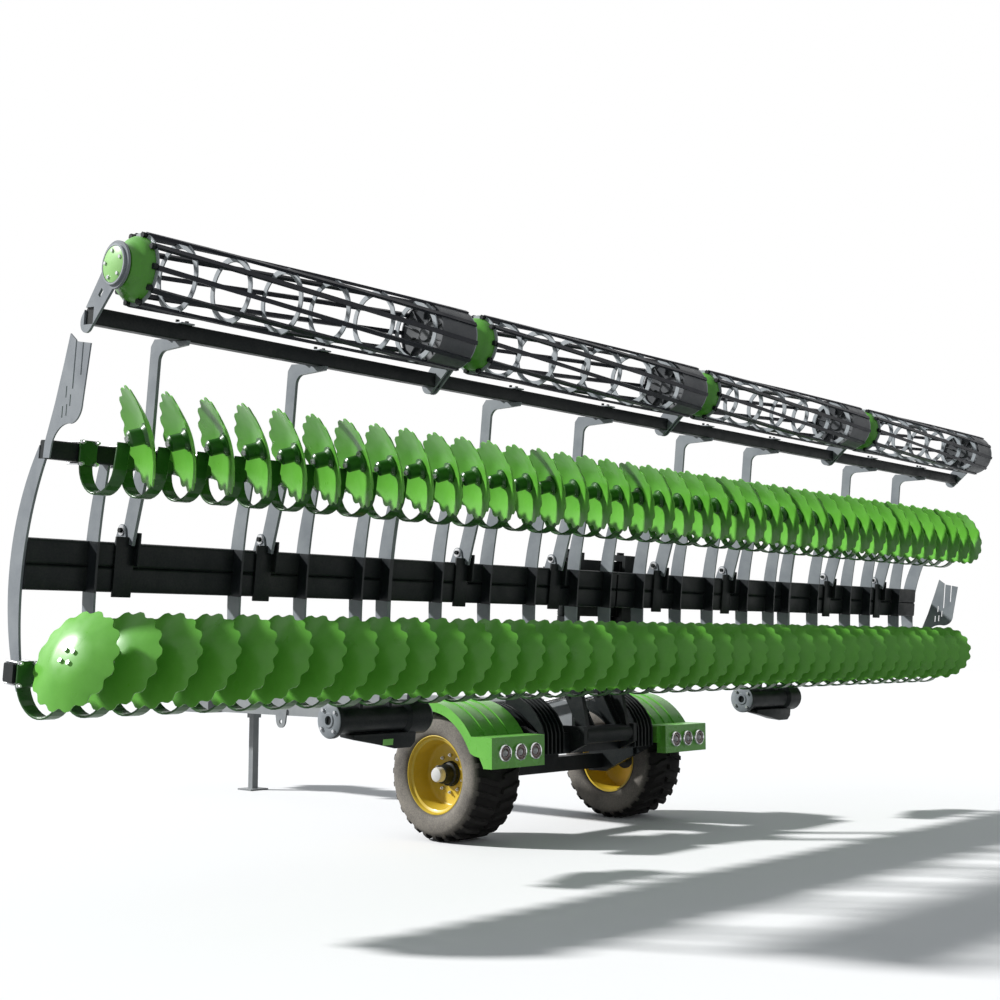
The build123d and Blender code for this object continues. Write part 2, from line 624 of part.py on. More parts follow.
def tilting_frame():
    """Carrier between the carriage's pivot and the two fold pins."""
    low, high = FOLD_LOW + LUG + 5, FOLD_HIGH - LUG - 5
    pieces = []
    for sign in (-1, 1):
        x = sign * FOLD_X
        pin = Cylinder(FOLD_PIN / 2, FOLD_HIGH - FOLD_LOW + 40)
        pieces.append(Pos(x, FOLD_HEIGHT, (FOLD_LOW + FOLD_HIGH) / 2) * pin)
        pieces.append(Pos(x, FOLD_HEIGHT, (low + high) / 2) * Cylinder(LUG_RADIUS, high - low))
    pieces.append(block((-FOLD_X, FOLD_X), (FOLD_HEIGHT - 30, FOLD_HEIGHT + 30), (low, high)))
    pieces.append(block((-TILT_HALF, TILT_HALF), (FOLD_HEIGHT + 30, FOLD_HEIGHT + 110), (low, low + 100)))
    for side, sign in SIDES:
        x, height, level = -sign * FOLD_ANCHOR[0], FOLD_ANCHOR[1], FOLD_LEVELS[side]
        pieces += eye_plates((x, height, level), (0, 0, 1),
                             lambda low, high: block((x - 40, x + 40), (FOLD_HEIGHT, height + 35),
                                                     (level + low, level + high)))
        pieces.append(Pos(x, height, level) * Cylinder(EYE_PIN / 2, EYE_SLOT + 2))
    upper = FRAME_PLACE * fused(pieces)
    leg_foot = (TILT_Y, TILT_Z)
    leg_head = FRAME_PLACE * Pos(0, FOLD_HEIGHT + 70, low + 45)
    head = leg_head.position
    lower = [rod((-TILT_HALF, TILT_Y, TILT_Z), (TILT_HALF, TILT_Y, TILT_Z), TILT_SLEEVE / 2)]
    for sign in (-1, 1):
        lower.append(bar_between(leg_foot, (head.Y, head.Z), 110, sign * (TILT_HALF - 30), 40))
        x = sign * TILT_CYLINDER_X
        lower += eye_plates((x, *TILT_EYE), (1, 0, 0),
                            lambda low, high: bar_between(leg_foot, TILT_TIP, 90, x + (low + high) / 2,
                                                           EYE_PLATE))
    bore = rod((-2 * TILT_HALF, TILT_Y, TILT_Z), (2 * TILT_HALF, TILT_Y, TILT_Z), TILT_PIN / 2 + PIN_GAP)
    return fused([upper, *lower]) - bore


def cross_beam():
    """Rear cross beam of the carriage with the lugs and the pin of the frame's pivot."""
    rear, low = AXLE_BEAM_REAR, AXLE_BEAM_LOW
    inner = KNEE_X - KNEE_THICKNESS / 2
    pieces = [block((-inner, inner), (rear, rear + AXLE_BEAM), (low, low + AXLE_BEAM))]
    for sign in (-1, 1):
        cheek = [(TILT_Y - 70, TILT_Z - 70), (TILT_Y - 70, TILT_Z + 70), (rear + 100, TILT_Z + 70),
                 (rear + 100, low), (rear, low)]
        pieces.append(plate(cheek, sign * (TILT_HALF + 30), 40))
    pieces.append(rod((-TILT_HALF - 60, TILT_Y, TILT_Z), (TILT_HALF + 60, TILT_Y, TILT_Z), TILT_PIN / 2))
    return fused(pieces)


def knees():
    """Plates beside the wheels that join the cross beam to the axle, each with an arched ribbed guard."""
    rear, low, hub = AXLE_BEAM_REAR, AXLE_BEAM_LOW, TYRE_DIAMETER / 2
    outline = [(rear, low), (rear, low + AXLE_BEAM), (rear + AXLE_BEAM, low + AXLE_BEAM + 60),
               (AXLE_Y + 90, hub + 90), (AXLE_Y + 90, hub - 90), (AXLE_Y - 90, hub - 90)]
    centre = (AXLE_Y, hub)
    solids = []
    for sign in (-1, 1):
        pieces = [plate(outline, sign * KNEE_X, KNEE_THICKNESS)]
        for number in range(GUARD_RIBS + 1):
            depth = GUARD_DEPTH if number < GUARD_RIBS else 10
            thick = 16 if number < GUARD_RIBS else GUARD_PITCH * GUARD_RIBS + KNEE_THICKNESS
            x = sign * (KNEE_X - (number + 1) * GUARD_PITCH if number < GUARD_RIBS else KNEE_X - thick / 2)
            outer = arc_points(centre, GUARD_INNER + depth, GUARD_START, GUARD_END)
            inner = arc_points(centre, GUARD_INNER, GUARD_START, GUARD_END)
            edges = [ThreePointArc(*outer), ThreePointArc(*inner), Line(inner[0], outer[0]),
                     Line(inner[2], outer[2])]
            pieces.append(shape_across(edges, x, thick))
        solids.append(fused(pieces) - block((-KNEE_X, KNEE_X), (0, rear + AXLE_BEAM), (0, low + AXLE_BEAM)))
    return lined_up(solids)


def axle():
    """Square axle between the knees, its stubs through the wheels, and the saddle under the drawbar."""
    inner, outer, hub = KNEE_X - KNEE_THICKNESS / 2, KNEE_X + KNEE_THICKNESS / 2, TYRE_DIAMETER / 2
    pieces = [block((-inner, inner), (AXLE_Y - 60, AXLE_Y + 60), (hub - 60, hub + 60)),
              block((-DRAWBAR_WIDTH / 2, DRAWBAR_WIDTH / 2), (AXLE_Y - 60, AXLE_Y + 60), (hub, DRAWBAR_LOW))]
    stubs = [rod((sign * outer, AXLE_Y, hub), (sign * (WHEEL_X + RIM_OUTSET), AXLE_Y, hub), STUB_DIAMETER / 2)
             for sign in (-1, 1)]
    return lined_up([fused(pieces), *stubs])


def drawbar():
    """Drawbar with its eye, the cylinder brackets and the stand's sleeve."""
    half = DRAWBAR_WIDTH / 2
    top = DRAWBAR_LOW + DRAWBAR_HEIGHT
    middle = DRAWBAR_LOW + DRAWBAR_HEIGHT / 2
    rear = AXLE_BEAM_REAR + AXLE_BEAM
    pieces = [block((-half, half), (rear, DRAWBAR_FRONT), (DRAWBAR_LOW, top))]
    pieces.append(block((-HEAD_WIDTH / 2, HEAD_WIDTH / 2), (DRAWBAR_FRONT, DRAWBAR_FRONT + HEAD_LENGTH),
                        (middle - 130, middle + 130)))
    pieces.append(block((-40, 40), (DRAWBAR_FRONT, EYE_Y),
                        (middle - EYE_HEIGHT / 2, middle + EYE_HEIGHT / 2)))
    pieces.append(Pos(0, EYE_Y, middle) * Cylinder(EYE_OUTER, EYE_HEIGHT))
    pieces.append(block((half, half + STAND_SLEEVE), (STAND_Y - STAND_SLEEVE / 2, STAND_Y + STAND_SLEEVE / 2),
                        (DRAWBAR_LOW - 60, top)))
    hole = DRAWBAR_LOW - 60
    corners = [(BRACKET_Y - 70, hole), (BRACKET_Y - 90, DRAWBAR_LOW + 60), (BRACKET_Y + 90, DRAWBAR_LOW + 60),
               (BRACKET_Y + 70, hole)]
    edges = [Line(start, end) for start, end in zip(corners, corners[1:])]
    edges.append(ThreePointArc(corners[3], (BRACKET_Y, hole - 60), corners[0]))
    pieces.append(shape_across(edges, -half - 8, 16))
    whole = fused(pieces)
    whole -= rod((-half - 40, BRACKET_Y, hole), (-half + 10, BRACKET_Y, hole), 22)
    whole -= Pos(0, EYE_Y, middle) * Cylinder(EYE_BORE / 2, 2 * EYE_HEIGHT)
    bore = STAND_LEG / 2 + STAND_PLAY
    centre = half + STAND_SLEEVE / 2
    return whole - block((centre - bore, centre + bore), (STAND_Y - bore, STAND_Y + bore), (0, 2 * top))


def tilt_anchors():
    """Pins on the drawbar's sides that hold the tilt cylinders' barrels, each with its head."""
    y, z = TILT_ANCHOR
    face, end = DRAWBAR_WIDTH / 2, TILT_CYLINDER_X + EYE_WIDTH / 2 + 3
    pieces = []
    for sign in (-1, 1):
        pin = rod((sign * face, y, z), (sign * (end + 12), y, z), EYE_PIN / 2)
        head = rod((sign * end, y, z), (sign * (end + 12), y, z), EYE_PIN)
        boss = rod((sign * face, y, z), (sign * (TILT_CYLINDER_X - EYE_WIDTH / 2 - 3), y, z), EYE_PIN)
        pieces.append(fused([pin, head, boss]))
    return lined_up(pieces)


def stand():
    """Square leg with its foot."""
    x = DRAWBAR_WIDTH / 2 + STAND_SLEEVE / 2
    half = STAND_LEG / 2
    leg = block((x - half, x + half), (STAND_Y - half, STAND_Y + half),
                (15, DRAWBAR_LOW + DRAWBAR_HEIGHT + 80))
    return leg + block((x - 110, x + 110), (STAND_Y - 110, STAND_Y + 110), (0, 15))


def fender(sign):
    """Curved fender over a wheel with pressed ribs and a side skirt, ending in its light box."""
    x = sign * FENDER_X
    hub = TYRE_DIAMETER / 2
    centre = (AXLE_Y, hub)
    top = LIGHT_BOX_LOW + LIGHT_BOX_HEIGHT
    skin = FENDER_INNER + FENDER_THICKNESS
    start = degrees(asin((top - 10 - hub) / skin))

    def arched(inner_radius, outer_radius, at, width):
        outer = arc_points(centre, outer_radius, start, FENDER_END)
        inner = arc_points(centre, inner_radius, start, FENDER_END)
        edges = [ThreePointArc(*outer), ThreePointArc(*inner), Line(inner[0], outer[0]),
                 Line(inner[2], outer[2])]
        return shape_across(edges, at, width)

    pieces = [arched(FENDER_INNER, skin, x, FENDER_WIDTH)]
    for step in FENDER_RIBS:
        pieces.append(arched(FENDER_INNER + 2, skin + 8, x + step, 36))
    edge = x + sign * (FENDER_WIDTH - SKIRT_THICKNESS) / 2
    pieces.append(arched(FENDER_INNER - SKIRT_DEPTH, skin, edge, SKIRT_THICKNESS))
    wide = (x - FENDER_WIDTH / 2, x + FENDER_WIDTH / 2)
    rear = LIGHT_BOX_REAR
    pieces.append(block(wide, (rear, rear + LIGHT_BOX_DEPTH), (LIGHT_BOX_LOW, top)))
    pieces.append(block(wide, (rear, AXLE_Y - skin * cos(radians(start)) + 20), (top - 10, top)))
    cheek = [(rear + LIGHT_BOX_DEPTH - 5, LIGHT_BOX_LOW), (rear + LIGHT_BOX_DEPTH - 5, top),
             (AXLE_Y - skin * cos(radians(start)), top), (AXLE_Y - skin + 30, top - 120)]
    pieces.append(plate(cheek, edge, SKIRT_THICKNESS))
    inner = KNEE_X + KNEE_THICKNESS / 2
    pieces.append(block(sorted((sign * inner, sign * (inner + 60))), (rear + 60, AXLE_BEAM_REAR + 20),
                        (AXLE_BEAM_LOW + 30, top - 5)))
    return fused(pieces)


def lamps():
    """Three round lamps in each light box, each a lens set into a raised bezel."""
    pieces = []
    for sign in (-1, 1):
        for step in (-1, 0, 1):
            x = sign * FENDER_X + step * LAMP_PITCH
            z = LIGHT_BOX_LOW + LIGHT_BOX_HEIGHT / 2
            outer = LAMP_DIAMETER / 2
            lens = [(0, 0), (outer, 0), (outer, 26), (outer - LAMP_RIM, 30), (outer - LAMP_RIM, 16),
                    (outer - LAMP_RIM - 6, 20), (outer * 0.4, 30), (outer * 0.33, 22), (0, 26)]
            lamp = revolve(make_face(Polyline(*[(r, 0, h) for r, h in lens], close=True)), Axis.Z)
            pieces.append(Pos(x, LIGHT_BOX_REAR, z) * Rot(90, 0, 0) * lamp)
    return lined_up(pieces)


def turned(profile, steps):
    """A solid of revolution about Z from (radius, height) points, with flat faces all round."""
    rings = []
    for radius, height in profile:
        rings.append([(radius * cos(2 * pi * i / steps), radius * sin(2 * pi * i / steps), height)
                      for i in range(steps)])
    faces = []
    for ring, following in zip(rings, rings[1:] + rings[:1]):
        for i in range(steps):
            j = (i + 1) % steps
            faces.append(Face(Wire.make_polygon([ring[i], ring[j], following[j], following[i]])))
    return Solid(Shell(faces))


def wheel(sign):
    """Rim with its dished disc, hand holes and hub, and the tyre around it."""
    place = Pos(sign * WHEEL_X, AXLE_Y, TYRE_DIAMETER / 2) * Rot(0, 90 * sign, 0)
    half = TYRE_WIDTH / 2
    tread, bead = TYRE_DIAMETER / 2, RIM_DIAMETER / 2 - 15
    seat = bead / cos(pi / TYRE_FACETS)
    tyre = turned([(seat, -half + 45), (bead + TYRE_BELLY, -half + 10), (bead + 2 * TYRE_BELLY, -half),
                   (tread - 75, -half), (tread - 25, -half + 30), (tread, -half + 75), (tread, half - 75),
                   (tread - 25, half - 30), (tread - 75, half), (bead + 2 * TYRE_BELLY, half),
                   (bead + TYRE_BELLY, half - 10), (seat, half - 45)], TYRE_FACETS)
    bore = STUB_DIAMETER / 2 + PIN_GAP
    rim_profile = [(bore, RIM_OUTSET - 20), (bore, 60), (110, 60), (110, 90), (bead - 15, 120),
                   (bead - 15, -half + 45), (bead, -half + 45), (bead, half - 45), (bead + 15, half - 30),
                   (bead - 5, half - 30), (bead - 25, 150), (110, 120), (110, RIM_OUTSET - 20)]
    rim = revolve(make_face(Polyline(*[(r, 0, z) for r, z in rim_profile], close=True)), Axis.Z)
    for i in range(HAND_HOLES):
        angle = 2 * pi * (i + 0.5) / HAND_HOLES
        rim -= Pos(185 * cos(angle), 185 * sin(angle), 110) * Cylinder(24, 120)
    return place * rim, place * tyre


for side, sign in SIDES:
    parts.update(wing(side, sign))
roller = cage_roller()
for number, centre in enumerate(ROLLER_CENTRES, 1):
    parts[f"cage_roller_{number}"] = FRAME_PLACE * (Pos(centre, *ROLLER_AXIS) * roller)
parts["tilting_frame"] = tilting_frame()
parts["cross_beam"] = cross_beam()
parts["knees"] = knees()
parts["axle"] = axle()
parts["drawbar"] = drawbar()
parts["tilt_anchors"] = tilt_anchors()
parts["stand"] = stand()
parts["lamps"] = lamps()
for side, sign in SIDES:
    parts[f"fender_{side}"] = fender(sign)
    parts[f"rim_{side}"], parts[f"tyre_{side}"] = wheel(sign)
    x = sign * TILT_CYLINDER_X
    barrel, ram = cylinder_parts((x, *TILT_ANCHOR), (x, *TILT_EYE), (1, 0, 0), True)
    parts[f"tilt_barrel_{side}"], parts[f"tilt_ram_{side}"] = barrel, ram
    level = FOLD_LEVELS[side]
    barrel, ram = cylinder_parts((-sign * FOLD_ANCHOR[0], FOLD_ANCHOR[1], level),
                                 (sign * FOLD_EYE[0], FOLD_EYE[1], level), (0, 0, 1), False)
    parts[f"fold_barrel_{side}"], parts[f"fold_ram_{side}"] = FRAME_PLACE * barrel, FRAME_PLACE * ram

# The origin lies on the ground under the middle of the whole machine
bounds = [piece.bounding_box() for piece in parts.values()]
middle_x = (min(box.min.X for box in bounds) + max(box.max.X for box in bounds)) / 2
middle_y = (min(box.min.Y for box in bounds) + max(box.max.Y for box in bounds)) / 2

os.makedirs("parts", exist_ok=True)
for name, piece in parts.items():
    centred = lined_up(Pos(-middle_x, -middle_y, 0) * solid for solid in piece.solids())
    export_step(centred, f"parts/{name}.step")
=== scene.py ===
import json
import math

import bmesh
import bpy
from mathutils import Matrix, Vector


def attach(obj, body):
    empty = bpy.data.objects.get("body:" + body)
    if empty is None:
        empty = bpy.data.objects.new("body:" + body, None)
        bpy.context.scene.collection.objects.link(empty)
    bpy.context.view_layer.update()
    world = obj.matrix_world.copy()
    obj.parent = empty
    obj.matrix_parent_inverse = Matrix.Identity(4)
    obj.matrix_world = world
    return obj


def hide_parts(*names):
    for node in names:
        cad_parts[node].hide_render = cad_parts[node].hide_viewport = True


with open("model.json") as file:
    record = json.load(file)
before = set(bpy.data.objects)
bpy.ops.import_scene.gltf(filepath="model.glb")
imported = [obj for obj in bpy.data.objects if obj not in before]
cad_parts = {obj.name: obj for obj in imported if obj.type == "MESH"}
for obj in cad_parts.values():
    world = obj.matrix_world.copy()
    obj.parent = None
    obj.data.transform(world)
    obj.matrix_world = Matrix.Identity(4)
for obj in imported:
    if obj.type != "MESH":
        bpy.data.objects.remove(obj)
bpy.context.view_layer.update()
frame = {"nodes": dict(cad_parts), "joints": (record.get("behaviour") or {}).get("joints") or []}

# The view: from eye height behind the machine's left end, looking a little up along the
# raised frame. The camera and the pieces are placed from the middle of the axle.
axle = Vector(next(j["pos_m"] for j in frame["joints"] if j["name"] == "wheel_left_spin"))
azimuth, pitch = math.radians(46.9), math.radians(5.83)
looking = Vector((math.sin(azimuth) * math.cos(pitch), math.cos(azimuth) * math.cos(pitch), math.sin(pitch)))
camera = bpy.data.objects.new("camera", bpy.data.cameras.new("camera"))
camera.data.lens = 50.5
camera.data.sensor_width = 36
camera.data.clip_end = 200
camera.location = axle + Vector((-8.76, -7.70, 0.99))
camera.rotation_euler = looking.to_track_quat("-Z", "Y").to_euler()
bpy.context.scene.collection.objects.link(camera)
bpy.context.scene.camera = camera
bpy.context.scene.view_settings.view_transform = "Standard"

# Bright sun on the left and in front of the machine, so the faces that look straight
# back lie in shade, under a pale sky that fills the shadows. The camera, and what
# shines, sees that sky as plain white.
sun = bpy.data.objects.new("sun", bpy.data.lights.new("sun", "SUN"))
sun.data.energy = 4.8
sun.data.angle = math.radians(4)
sun.rotation_euler = Vector((0.50, -0.66, -0.56)).to_track_quat("-Z", "Y").to_euler()
bpy.context.scene.collection.objects.link(sun)
sky = bpy.data.worlds.new("sky")
bpy.context.scene.world = sky
sky.use_nodes = True
sky_nodes, sky_links = sky.node_tree.nodes, sky.node_tree.links
fill = sky_nodes["Background"]
fill.inputs["Color"].default_value = (0.88, 0.94, 1.0, 1)
fill.inputs["Strength"].default_value = 0.33
white = sky_nodes.new("ShaderNodeBackground")
white.inputs["Color"].default_value = (1, 1, 1, 1)


def fed(tree, socket, value):
    """Links another node's output into a socket, or sets a plain value on it."""
    if isinstance(value, bpy.types.NodeSocket):
        tree.links.new(value, socket)
    else:
        socket.default_value = value


def reckoned(tree, operation, *values):
    """A Math node's result."""
    node = tree.nodes.new("ShaderNodeMath")
    node.operation = operation
    for socket, value in zip(node.inputs, values):
        fed(tree, socket, value)
    return node.outputs[0]


def seen_rays(tree):
    """One where a ray comes from the camera, a mirror or glass, and zero where it only carries light."""
    rays = tree.nodes.new("ShaderNodeLightPath").outputs
    shine = reckoned(tree, "MAXIMUM", rays["Is Glossy Ray"], rays["Is Transmission Ray"])
    return reckoned(tree, "MAXIMUM", rays["Is Camera Ray"], shine)


choice = sky_nodes.new("ShaderNodeMixShader")
sky_links.new(seen_rays(sky.node_tree), choice.inputs["Fac"])
sky_links.new(fill.outputs[0], choice.inputs[1])
sky_links.new(white.outputs[0], choice.inputs[2])
sky_links.new(choice.outputs[0], sky_nodes["World Output"].inputs["Surface"])


# The floor: one wide sheet at the wheels' height, pale to look at, but dark enough in
# its bounce that the undersides stay deep.
def mesh_of(bm, name):
    """Turns a bmesh into a mesh."""
    mesh = bpy.data.meshes.new(name)
    bm.to_mesh(mesh)
    bm.free()
    return mesh


def mixed(tree, share, under, over):
    """A colour between two others, each a socket or a plain colour: under at zero, over at one."""
    node = tree.nodes.new("ShaderNodeMix")
    node.data_type = "RGBA"
    tree.links.new(share, node.inputs["Factor"])
    for socket, colour in ((node.inputs[6], under), (node.inputs[7], over)):
        fed(tree, socket, colour if isinstance(colour, bpy.types.NodeSocket) else (*colour, 1))
    return node.outputs[2]


floor_half, bounce_tone, seen_tone = 60, 0.24, 0.86
bm = bmesh.new()
bmesh.ops.create_grid(bm, x_segments=1, y_segments=1, size=floor_half)
floor = bpy.data.objects.new("floor", mesh_of(bm, "floor"))
bpy.context.scene.collection.objects.link(floor)
floor_paint = bpy.data.materials.new("floor")
floor_paint.use_nodes = True
tree = floor_paint.node_tree
surface = tree.nodes["Principled BSDF"]
shown = mixed(tree, seen_rays(tree), (bounce_tone,) * 3, (seen_tone,) * 3)
tree.links.new(shown, surface.inputs["Base Color"])
surface.inputs["Roughness"].default_value = 0.9
floor.data.materials.append(floor_paint)


# The frame's tubes: square steel tubes with rounded corners, sprayed anthracite. Two
# toolbars hold the disc rows, a pair of stacked tubes is the main beam between them, and
# a single tube at the top carries the rollers. The carriage is sprayed in the same paint.
sides = (("left", -1), ("right", 1))
upright = Matrix.Translation(axle + Vector((0, -1.19, 0.9))) @ Matrix.Rotation(math.radians(5.86), 4, "X")
pitch_of_discs = 0.25
frame_half, middle_gap = 5.04, 0.010
bar_face, bar_size, bar_drop, row_gap, bar_corner = 0.310, 0.100, 0.100, 1.176, 0.012
bar_overhangs = ((0, 0.110), (row_gap, 0.010))
beam_face, beam_size, beam_low, beam_corner, beam_seam = 0.470, 0.140, 0.325, 0.016, 0.0005
carrier_y, carrier_z, carrier_cut, carrier_corner = (0.075, 0.165), (1.735, 1.825), 0.055, 0.010


def node_group(name, inputs, outputs):
    """An empty shader group with named number sockets."""
    group = bpy.data.node_groups.new(name, "ShaderNodeTree")
    for title, value in inputs:
        socket = group.interface.new_socket(title, in_out="INPUT", socket_type="NodeSocketFloat")
        socket.default_value = value
    for title in outputs:
        group.interface.new_socket(title, in_out="OUTPUT", socket_type="NodeSocketFloat")
    return group, group.nodes.new("NodeGroupInput").outputs, group.nodes.new("NodeGroupOutput").inputs


def noise(tree, place, scale, detail=2.0, roughness=0.5):
    """Noise over the object's own coordinates."""
    node = tree.nodes.new("ShaderNodeTexNoise")
    for title, value in (("Vector", place), ("Scale", scale), ("Detail", detail), ("Roughness", roughness)):
        fed(tree, node.inputs[title], value)
    return node.outputs["Fac"]


def ranged(tree, value, low, high, to_low=0.0, to_high=1.0):
    """Stretches the span from low to high onto another one, zero to one unless given."""
    node = tree.nodes.new("ShaderNodeMapRange")
    for title, number in (("Value", value), ("From Min", low), ("From Max", high), ("To Min", to_low),
                          ("To Max", to_high)):
        fed(tree, node.inputs[title], number)
    return node.outputs["Result"]


def field_dust():
    """Dust in patches, with a fine grain in it."""
    tree, given, made = node_group("field dust", [("Amount", 0.3), ("Scale", 3.0)], ["Mask", "Tone"])
    place = tree.nodes.new("ShaderNodeTexCoord").outputs["Object"]
    patches = noise(tree, place, given["Scale"], 6, 0.65)
    grain = noise(tree, place, 90, 3)
    spread = ranged(tree, reckoned(tree, "MULTIPLY", patches, grain), 0.16, 0.42)
    dust = reckoned(tree, "MULTIPLY", spread, given["Amount"])
    dust.node.use_clamp = True
    tree.links.new(dust, made["Mask"])
    tree.links.new(patches, made["Tone"])
    return tree


def paint_skin():
    """Sprayed paint: a faint orange peel as a height, and slow waves for its gloss."""
    tree, given, made = node_group("paint skin", [("Peel", 0.6)], ["Height", "Gloss"])
    place = tree.nodes.new("ShaderNodeTexCoord").outputs["Object"]
    tree.links.new(reckoned(tree, "MULTIPLY", noise(tree, place, 260), given["Peel"]), made["Height"])
    tree.links.new(noise(tree, place, 9, 4), made["Gloss"])
    return tree


dust_group, skin_group = field_dust(), paint_skin()


def painted(name, colour, dark, roughness, dust, peel=0.6, metallic=0.0, coat=0.0, tint=(0.42, 0.36, 0.27),
            shine=0.5):
    """Sprayed steel: two close tones of one colour, dust lying on it in patches, satin gloss."""
    material = bpy.data.materials.new(name)
    material.use_nodes = True
    tree = material.node_tree
    surface = tree.nodes["Principled BSDF"]
    for title, value in (("Metallic", metallic), ("Specular IOR Level", shine), ("Coat Weight", coat),
                         ("Coat Roughness", 0.15)):
        surface.inputs[title].default_value = value
    dusty = tree.nodes.new("ShaderNodeGroup")
    dusty.node_tree = dust_group
    dusty.inputs["Amount"].default_value = dust
    skin = tree.nodes.new("ShaderNodeGroup")
    skin.node_tree = skin_group
    skin.inputs["Peel"].default_value = peel
    tones = mixed(tree, ranged(tree, dusty.outputs["Tone"], 0.35, 0.6), dark, colour)
    tree.links.new(mixed(tree, dusty.outputs["Mask"], tones, tint), surface.inputs["Base Color"])
    rough = ranged(tree, skin.outputs["Gloss"], 0.3, 0.7, roughness - 0.08, roughness + 0.12)
    tree.links.new(rough, surface.inputs["Roughness"])
    bump = tree.nodes.new("ShaderNodeBump")
    bump.inputs["Strength"].default_value = 0.12
    bump.inputs["Distance"].default_value = 0.002
    tree.links.new(skin.outputs["Height"], bump.inputs["Height"])
    tree.links.new(bump.outputs["Normal"], surface.inputs["Normal"])
    return material


def finished(name, bm, material, body, slot, *nodes, smooth=40):
    """Turns a bmesh into a piece that rides on a body, and hides the plain nodes it stands for."""
    bmesh.ops.recalc_face_normals(bm, faces=bm.faces)
    mesh = mesh_of(bm, name)
    mesh.materials.append(material)
    mesh.shade_smooth()
    mesh.set_sharp_from_angle(angle=math.radians(smooth))
    piece = bpy.data.objects.new(name, mesh)
    bpy.context.scene.collection.objects.link(piece)
    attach(piece, body)
    if nodes:
        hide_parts(*nodes)


def sprayed(paint, *names):
    """Gives plain nodes their paint."""
    for name in names:
        frame["nodes"][name].material_slots[0].material = paint


def edges_of(verts):
    """Every edge that meets one of the points, once."""
    return list(dict.fromkeys(edge for vert in verts for edge in vert.link_edges))


def bevelled(bm, edges, offset, segments):
    """Rounds edges with the bevel operator."""
    bmesh.ops.bevel(bm, geom=edges, offset=offset, segments=segments, profile=0.5, affect="EDGES",
                    material=-1)


def tube_along(bm, x, y, z, corner):
    """A square tube along X with rounded long edges, from three (low, high) pairs."""
    size = [high - low for low, high in (x, y, z)]
    middle = [(low + high) / 2 for low, high in (x, y, z)]
    matrix = Matrix.Translation(middle) @ Matrix.Diagonal((*size, 1))
    verts = bmesh.ops.create_cube(bm, size=1, matrix=matrix)["verts"]
    long_edges = [e for e in edges_of(verts) if abs(e.verts[0].co.x - e.verts[1].co.x) > size[0] / 2]
    bevelled(bm, long_edges, corner, 3)


black_paint = painted("near black paint", (0.012, 0.016, 0.017), (0.006, 0.009, 0.010), 0.42, 0.03,
                      shine=0.14)
for side, sign in sides:
    reach = sorted((sign * middle_gap, sign * frame_half))
    beam, bars, carrier = (bmesh.new() for _ in range(3))
    for low in (beam_low, beam_low + beam_size):
        tube_along(beam, reach, (beam_face, beam_face + beam_size),
                   (low + beam_seam, low + beam_size - beam_seam), beam_corner)
    for length, past in bar_overhangs:
        span = (reach[0] - past, reach[1]) if sign < 0 else reach
        low = length - bar_drop - bar_size / 2
        tube_along(bars, span, (bar_face, bar_face + bar_size), (low, low + bar_size), bar_corner)
    tube_along(carrier, (reach[0] + carrier_cut, reach[1]) if sign < 0 else reach, carrier_y, carrier_z,
               carrier_corner)
    for name, bm, node in (("main_tubes", beam, "main_beam"), ("tool_tubes", bars, "toolbars"),
                           ("carrier_tube", carrier, "roller_carrier")):
        bmesh.ops.transform(bm, matrix=upright, verts=bm.verts)
        finished(f"{name}_{side}", bm, black_paint, f"wing_{side}", "black_frame", f"{node}_{side}")
    sprayed(black_paint, f"fold_hinge_{side}", f"housing_{side}", f"tilt_barrel_{side}",
            f"fold_barrel_{side}")
sprayed(black_paint, "tilting_frame", "cross_beam", "knees", "axle", "tilt_anchors")


# Ribs, struts, braces, roller arms and end plates: cut from steel plate and sprayed a
# blue grey that stands out from the dark tubes. Where an inner rib crosses the main beam
# its colour is mixed to near black.
plate_grey = ((0.25, 0.275, 0.295), (0.19, 0.21, 0.23), 0.40, 0.06)
grey_paint = painted("grey plate paint", *plate_grey, shine=0.3)
rib_paint = painted("rib paint", *plate_grey, shine=0.3)
end_rib_wide = 0.02
tree = rib_paint.node_tree
surface = tree.nodes["Principled BSDF"]
place = tree.nodes.new("ShaderNodeTexCoord").outputs["Object"]
up_frame = upright.to_3x3() @ Vector((0, 0, 1))
along = tree.nodes.new("ShaderNodeVectorMath")
along.operation = "DOT_PRODUCT"
along.inputs[1].default_value = up_frame
tree.links.new(place, along.inputs[0])
# Inner ribs are made near black in the band where they cross the main beam; the end ribs keep the grey.
beam_middle = upright.translation.dot(up_frame) + beam_low + beam_size
over_beam = reckoned(tree, "COMPARE", along.outputs["Value"], beam_middle, beam_size)
apart = tree.nodes.new("ShaderNodeSeparateXYZ")
tree.links.new(place, apart.inputs[0])
inner_ribs = reckoned(tree, "COMPARE", apart.outputs["X"], axle.x, frame_half - end_rib_wide)
crossing = reckoned(tree, "MULTIPLY", over_beam, inner_ribs)
paint = surface.inputs["Base Color"].links[0].from_socket
tree.links.new(mixed(tree, crossing, paint, (0.010, 0.013, 0.015)), surface.inputs["Base Color"])
for side, sign in sides:
    sprayed(grey_paint, f"roller_struts_{side}", f"roller_arms_{side}", f"side_plate_{side}")
    sprayed(rib_paint, f"ribs_{side}")


# The discs: notched, dished steel pressed in one piece, sprayed leaf green. Each turns
# on its own hub, set at an angle to the travel and leaning, the two rows opposite ways.
disc_radius, disc_flat, disc_dish, disc_thick = 0.280, 0.095, 0.062, 0.006
notches, notch_share, notch_depth = 16, 0.72, 0.020
disc_angles = {1: (math.radians(15), math.radians(22.7)), -1: (math.radians(22), math.radians(17))}
discs_in_row, wing_split = 40, 0.110
first_disc = -pitch_of_discs * (discs_in_row - 1) / 2
rows = ((first_disc - 0.100, 0.0, 1), (first_disc + 0.150, row_gap, -1))


